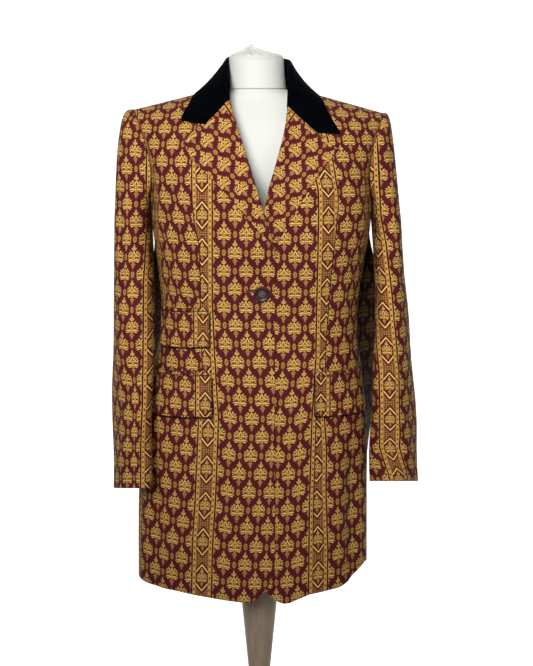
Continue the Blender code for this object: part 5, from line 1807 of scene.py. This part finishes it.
class BLAZER_OT_form(Operator):
    """Make the dress form's jersey cover and the gathered cap of its neck"""
    bl_idname = "blazer.form"
    bl_label = "Dress form"

    def execute(self, context):
        jersey = finish_of("cotton jersey", jersey_material, context.scene.blazer_form)
        low = stretches(FORM["height"][[0, 1, -1]], (8, 90))
        row = {name: column(FORM, name, low) for name in FORM}
        left, right = row["half"] - row["centre"], row["half"] + row["centre"]
        high = np.linspace(SHOULDERS["height"][0], SHOULDERS["height"][-1], 14)
        spare = SHOULDER_TIP + SHOULDER_SLOPE * TIP_REACH - (high + CLOTH * 1.05 + FORM_CLEAR)
        top = {name: np.interp(high, SHOULDERS["height"], SHOULDERS[name]) for name in SHOULDERS}
        slopes = (SHOULDER_SLOPE - SHOULDER_TILT, SHOULDER_SLOPE + SHOULDER_TILT)
        high_left, high_right = (np.minimum(spare / slope, top["limit"]) - 0.001 for slope in slopes)
        foot = NECK_RADIUS * CAP["share"][0]
        neck = (NECK_CAP_LOW - 0.0004, foot + NECK_ASIDE, foot - NECK_ASIDE, foot, foot, 2.0)
        columns = zip((low, left, right, row["front"], row["back"], row["square"]),
                      (high, high_left, high_right, top["front"], top["back"], top["square"]), neck)
        rings = oval(*(np.concatenate([a, b, [c]]) for a, b, c in columns), 144)
        torso = turned("form_torso_cover", rings, [jersey])
        place_piece(torso, ["form_torso"])

        # The cap's cone is gathered: fine pleats that fade at the rim and lean to the peak
        height = stretches((NECK_CAP_LOW, CONE_STARTS, CAP["height"][-1]), (24, 34))
        share = np.interp(height, CAP["height"], CAP["share"])
        around = 132
        reach = share * NECK_RADIUS
        rings = oval(height, reach, reach, reach, share * NECK_BACK, np.full(len(height), 2.0), around)
        angle = all_round(around)[None, :]
        cone = ease((height - CONE_STARTS) / 0.006)[:, None]
        fade = np.clip(share / 0.2, 0, 1)[:, None]
        pleats = CAP_PLEAT_HIGH * cone * fade * np.cos(CAP_PLEATS * angle + 0.8 * np.sin(3 * angle))
        rings[..., 2] += pleats * (share < 0.98)[:, None]
        lean = NECK_ASIDE + NECK_LEAN * (height - NECK_CAP_LOW) / (PEAK_STARTS - NECK_CAP_LOW)
        rings[..., 0] += (PEAK_AT * ease((height - PEAK_STARTS) / PEAK_HIGH) - lean)[:, None]
        cap = turned("form_neck_cover", rings, [jersey])
        place_piece(cap, ["form_neck_cap"])
        return {"FINISHED"}


class BLAZER_OT_stand(Operator):
    """Make the tapered post and the round base"""
    bl_idname = "blazer.stand"
    bl_label = "Stand"

    def execute(self, context):
        paint_finish = finish_of("stand paint", stand_material, context.scene.blazer_form)
        angle = all_round(96)[None, :]
        height = np.unique(np.concatenate([POST["height"], np.linspace(0.03, 0.79, 120)]))
        radius = np.interp(height, POST["height"], POST["radius"])
        base_turn = np.linspace(-np.pi / 2, np.pi / 2, 24)
        base_height = np.concatenate([[0.0], BASE_THICK / 2 * (1 + np.sin(base_turn)), [BASE_THICK]])
        base_radius = np.concatenate([[BASE_MIDDLE], BASE_RADIUS - BASE_EDGE * (1 - np.cos(base_turn)),
                                      [BASE_MIDDLE]])
        for name, node, radii, heights in (("stand_post_turned", "stand_post", radius, height),
                                           ("stand_base_turned", "stand_base", base_radius, base_height)):
            x, y = radii[:, None] * np.cos(angle), radii[:, None] * np.sin(angle)
            rings = np.stack([x, y, heights[:, None] + 0 * x], axis=-1)
            piece = turned(name, rings, [paint_finish])
            place_piece(piece, [node])
        return {"FINISHED"}


# Stage: how far the floor reaches, where and how it curves up to the wall, and the light
FLOOR_FRONT = -6.0
FLOOR_SIDE = 10.0
FLOOR_DROP = 0.0003
CURVE_STARTS = 3.2
CURVE_RADIUS = 2.8
WALL_HIGH = 10.0
LIGHT_AIM = (0.0, 0.0, 1.42)
WORLD_LIGHT = 0.07


class BLAZER_OT_stage(Operator):
    """Make the pale floor that curves up behind, the studio lights and the camera"""
    bl_idname = "blazer.stage"
    bl_label = "Stage"

    def execute(self, context):
        stage = context.scene.blazer_stage
        scene = context.scene
        scene.view_settings.view_transform = "Standard"
        turn = np.linspace(0, np.pi / 2, 24)
        y = np.concatenate([[FLOOR_FRONT], CURVE_STARTS + CURVE_RADIUS * np.sin(turn),
                            [CURVE_STARTS + CURVE_RADIUS]])
        z = np.concatenate([[0.0], CURVE_RADIUS * (1 - np.cos(turn)), [WALL_HIGH]]) - FLOOR_DROP
        x = np.array([-FLOOR_SIDE, FLOOR_SIDE])[:, None]
        points = np.stack([x + 0 * y, y + 0 * x, z + 0 * x], axis=-1).reshape(-1, 3)
        at = np.arange(len(points)).reshape(2, -1)
        backdrop = add_piece("backdrop", points, [strip(at[0], at[1])], [backdrop_material(stage)])

        # Name, place, width, power and spread of each light
        lights = (("key light", (-0.5, -2.3, 2.2), 1.2, stage.key_watts, 50),
                  ("fill light", (1.2, -2.6, 1.6), 1.8, stage.fill_watts, 180),
                  ("back light", (0.4, 1.6, 2.6), 1.6, stage.back_watts, 180))
        for name, place, size, watts, spread in lights:
            light = bpy.data.lights.new(name, "AREA")
            light.energy = watts
            light.size = size
            light.spread = np.radians(spread)
            lamp = bpy.data.objects.new(name, light)
            lamp.location = place
            ahead = Vector(LIGHT_AIM) - Vector(place)
            lamp.rotation_euler = ahead.to_track_quat("-Z", "Y").to_euler()
            scene.collection.objects.link(lamp)
        world = bpy.data.worlds.new("studio")
        world.use_nodes = True
        sky = world.node_tree.nodes["Background"].inputs
        sky["Color"].default_value = (1.0, 1.0, 1.0, 1.0)
        sky["Strength"].default_value = WORLD_LIGHT
        scene.world = world

        lens = bpy.data.cameras.new("camera")
        lens.lens = stage.lens
        camera = bpy.data.objects.new("camera", lens)
        camera.location = stage.camera_at
        camera.rotation_euler = (np.pi / 2 - stage.camera_down, 0.0, 0.0)
        scene.collection.objects.link(camera)
        scene.camera = camera
        return {"FINISHED"}


PIECES = (BLAZER_OT_form, BLAZER_OT_stand, BLAZER_OT_fronts, BLAZER_OT_back, BLAZER_OT_sleeves,
          BLAZER_OT_lapels, BLAZER_OT_collar, BLAZER_OT_pockets, BLAZER_OT_button, BLAZER_OT_stage)
GROUPS = {"blazer_cloth": BlazerCloth, "blazer_trim": BlazerTrim, "blazer_form": BlazerForm,
          "blazer_stage": BlazerStage}


class BLAZER_PT_sidebar(Panel):
    """The blazer's pieces, one button each"""
    bl_idname = "BLAZER_PT_sidebar"
    bl_label = "Blazer"
    bl_space_type = "VIEW_3D"
    bl_region_type = "UI"
    bl_category = "Blazer"

    def draw(self, context):
        for operator in PIECES:
            self.layout.operator(operator.bl_idname)


def register():
    """Registers the settings, the operators and the panel."""
    for kind in (*GROUPS.values(), *PIECES, BLAZER_PT_sidebar):
        bpy.utils.register_class(kind)
    for name, group in GROUPS.items():
        setattr(bpy.types.Scene, name, PointerProperty(type=group))


def unregister():
    """Takes them out again, in reverse order."""
    for name in GROUPS:
        delattr(bpy.types.Scene, name)
    for kind in reversed((*GROUPS.values(), *PIECES, BLAZER_PT_sidebar)):
        bpy.utils.unregister_class(kind)


def main():
    """Makes every piece and the stage."""
    register()
    for operator in PIECES:
        getattr(bpy.ops.blazer, operator.bl_idname.split(".")[1])()


if __name__ == "__main__":
    main()
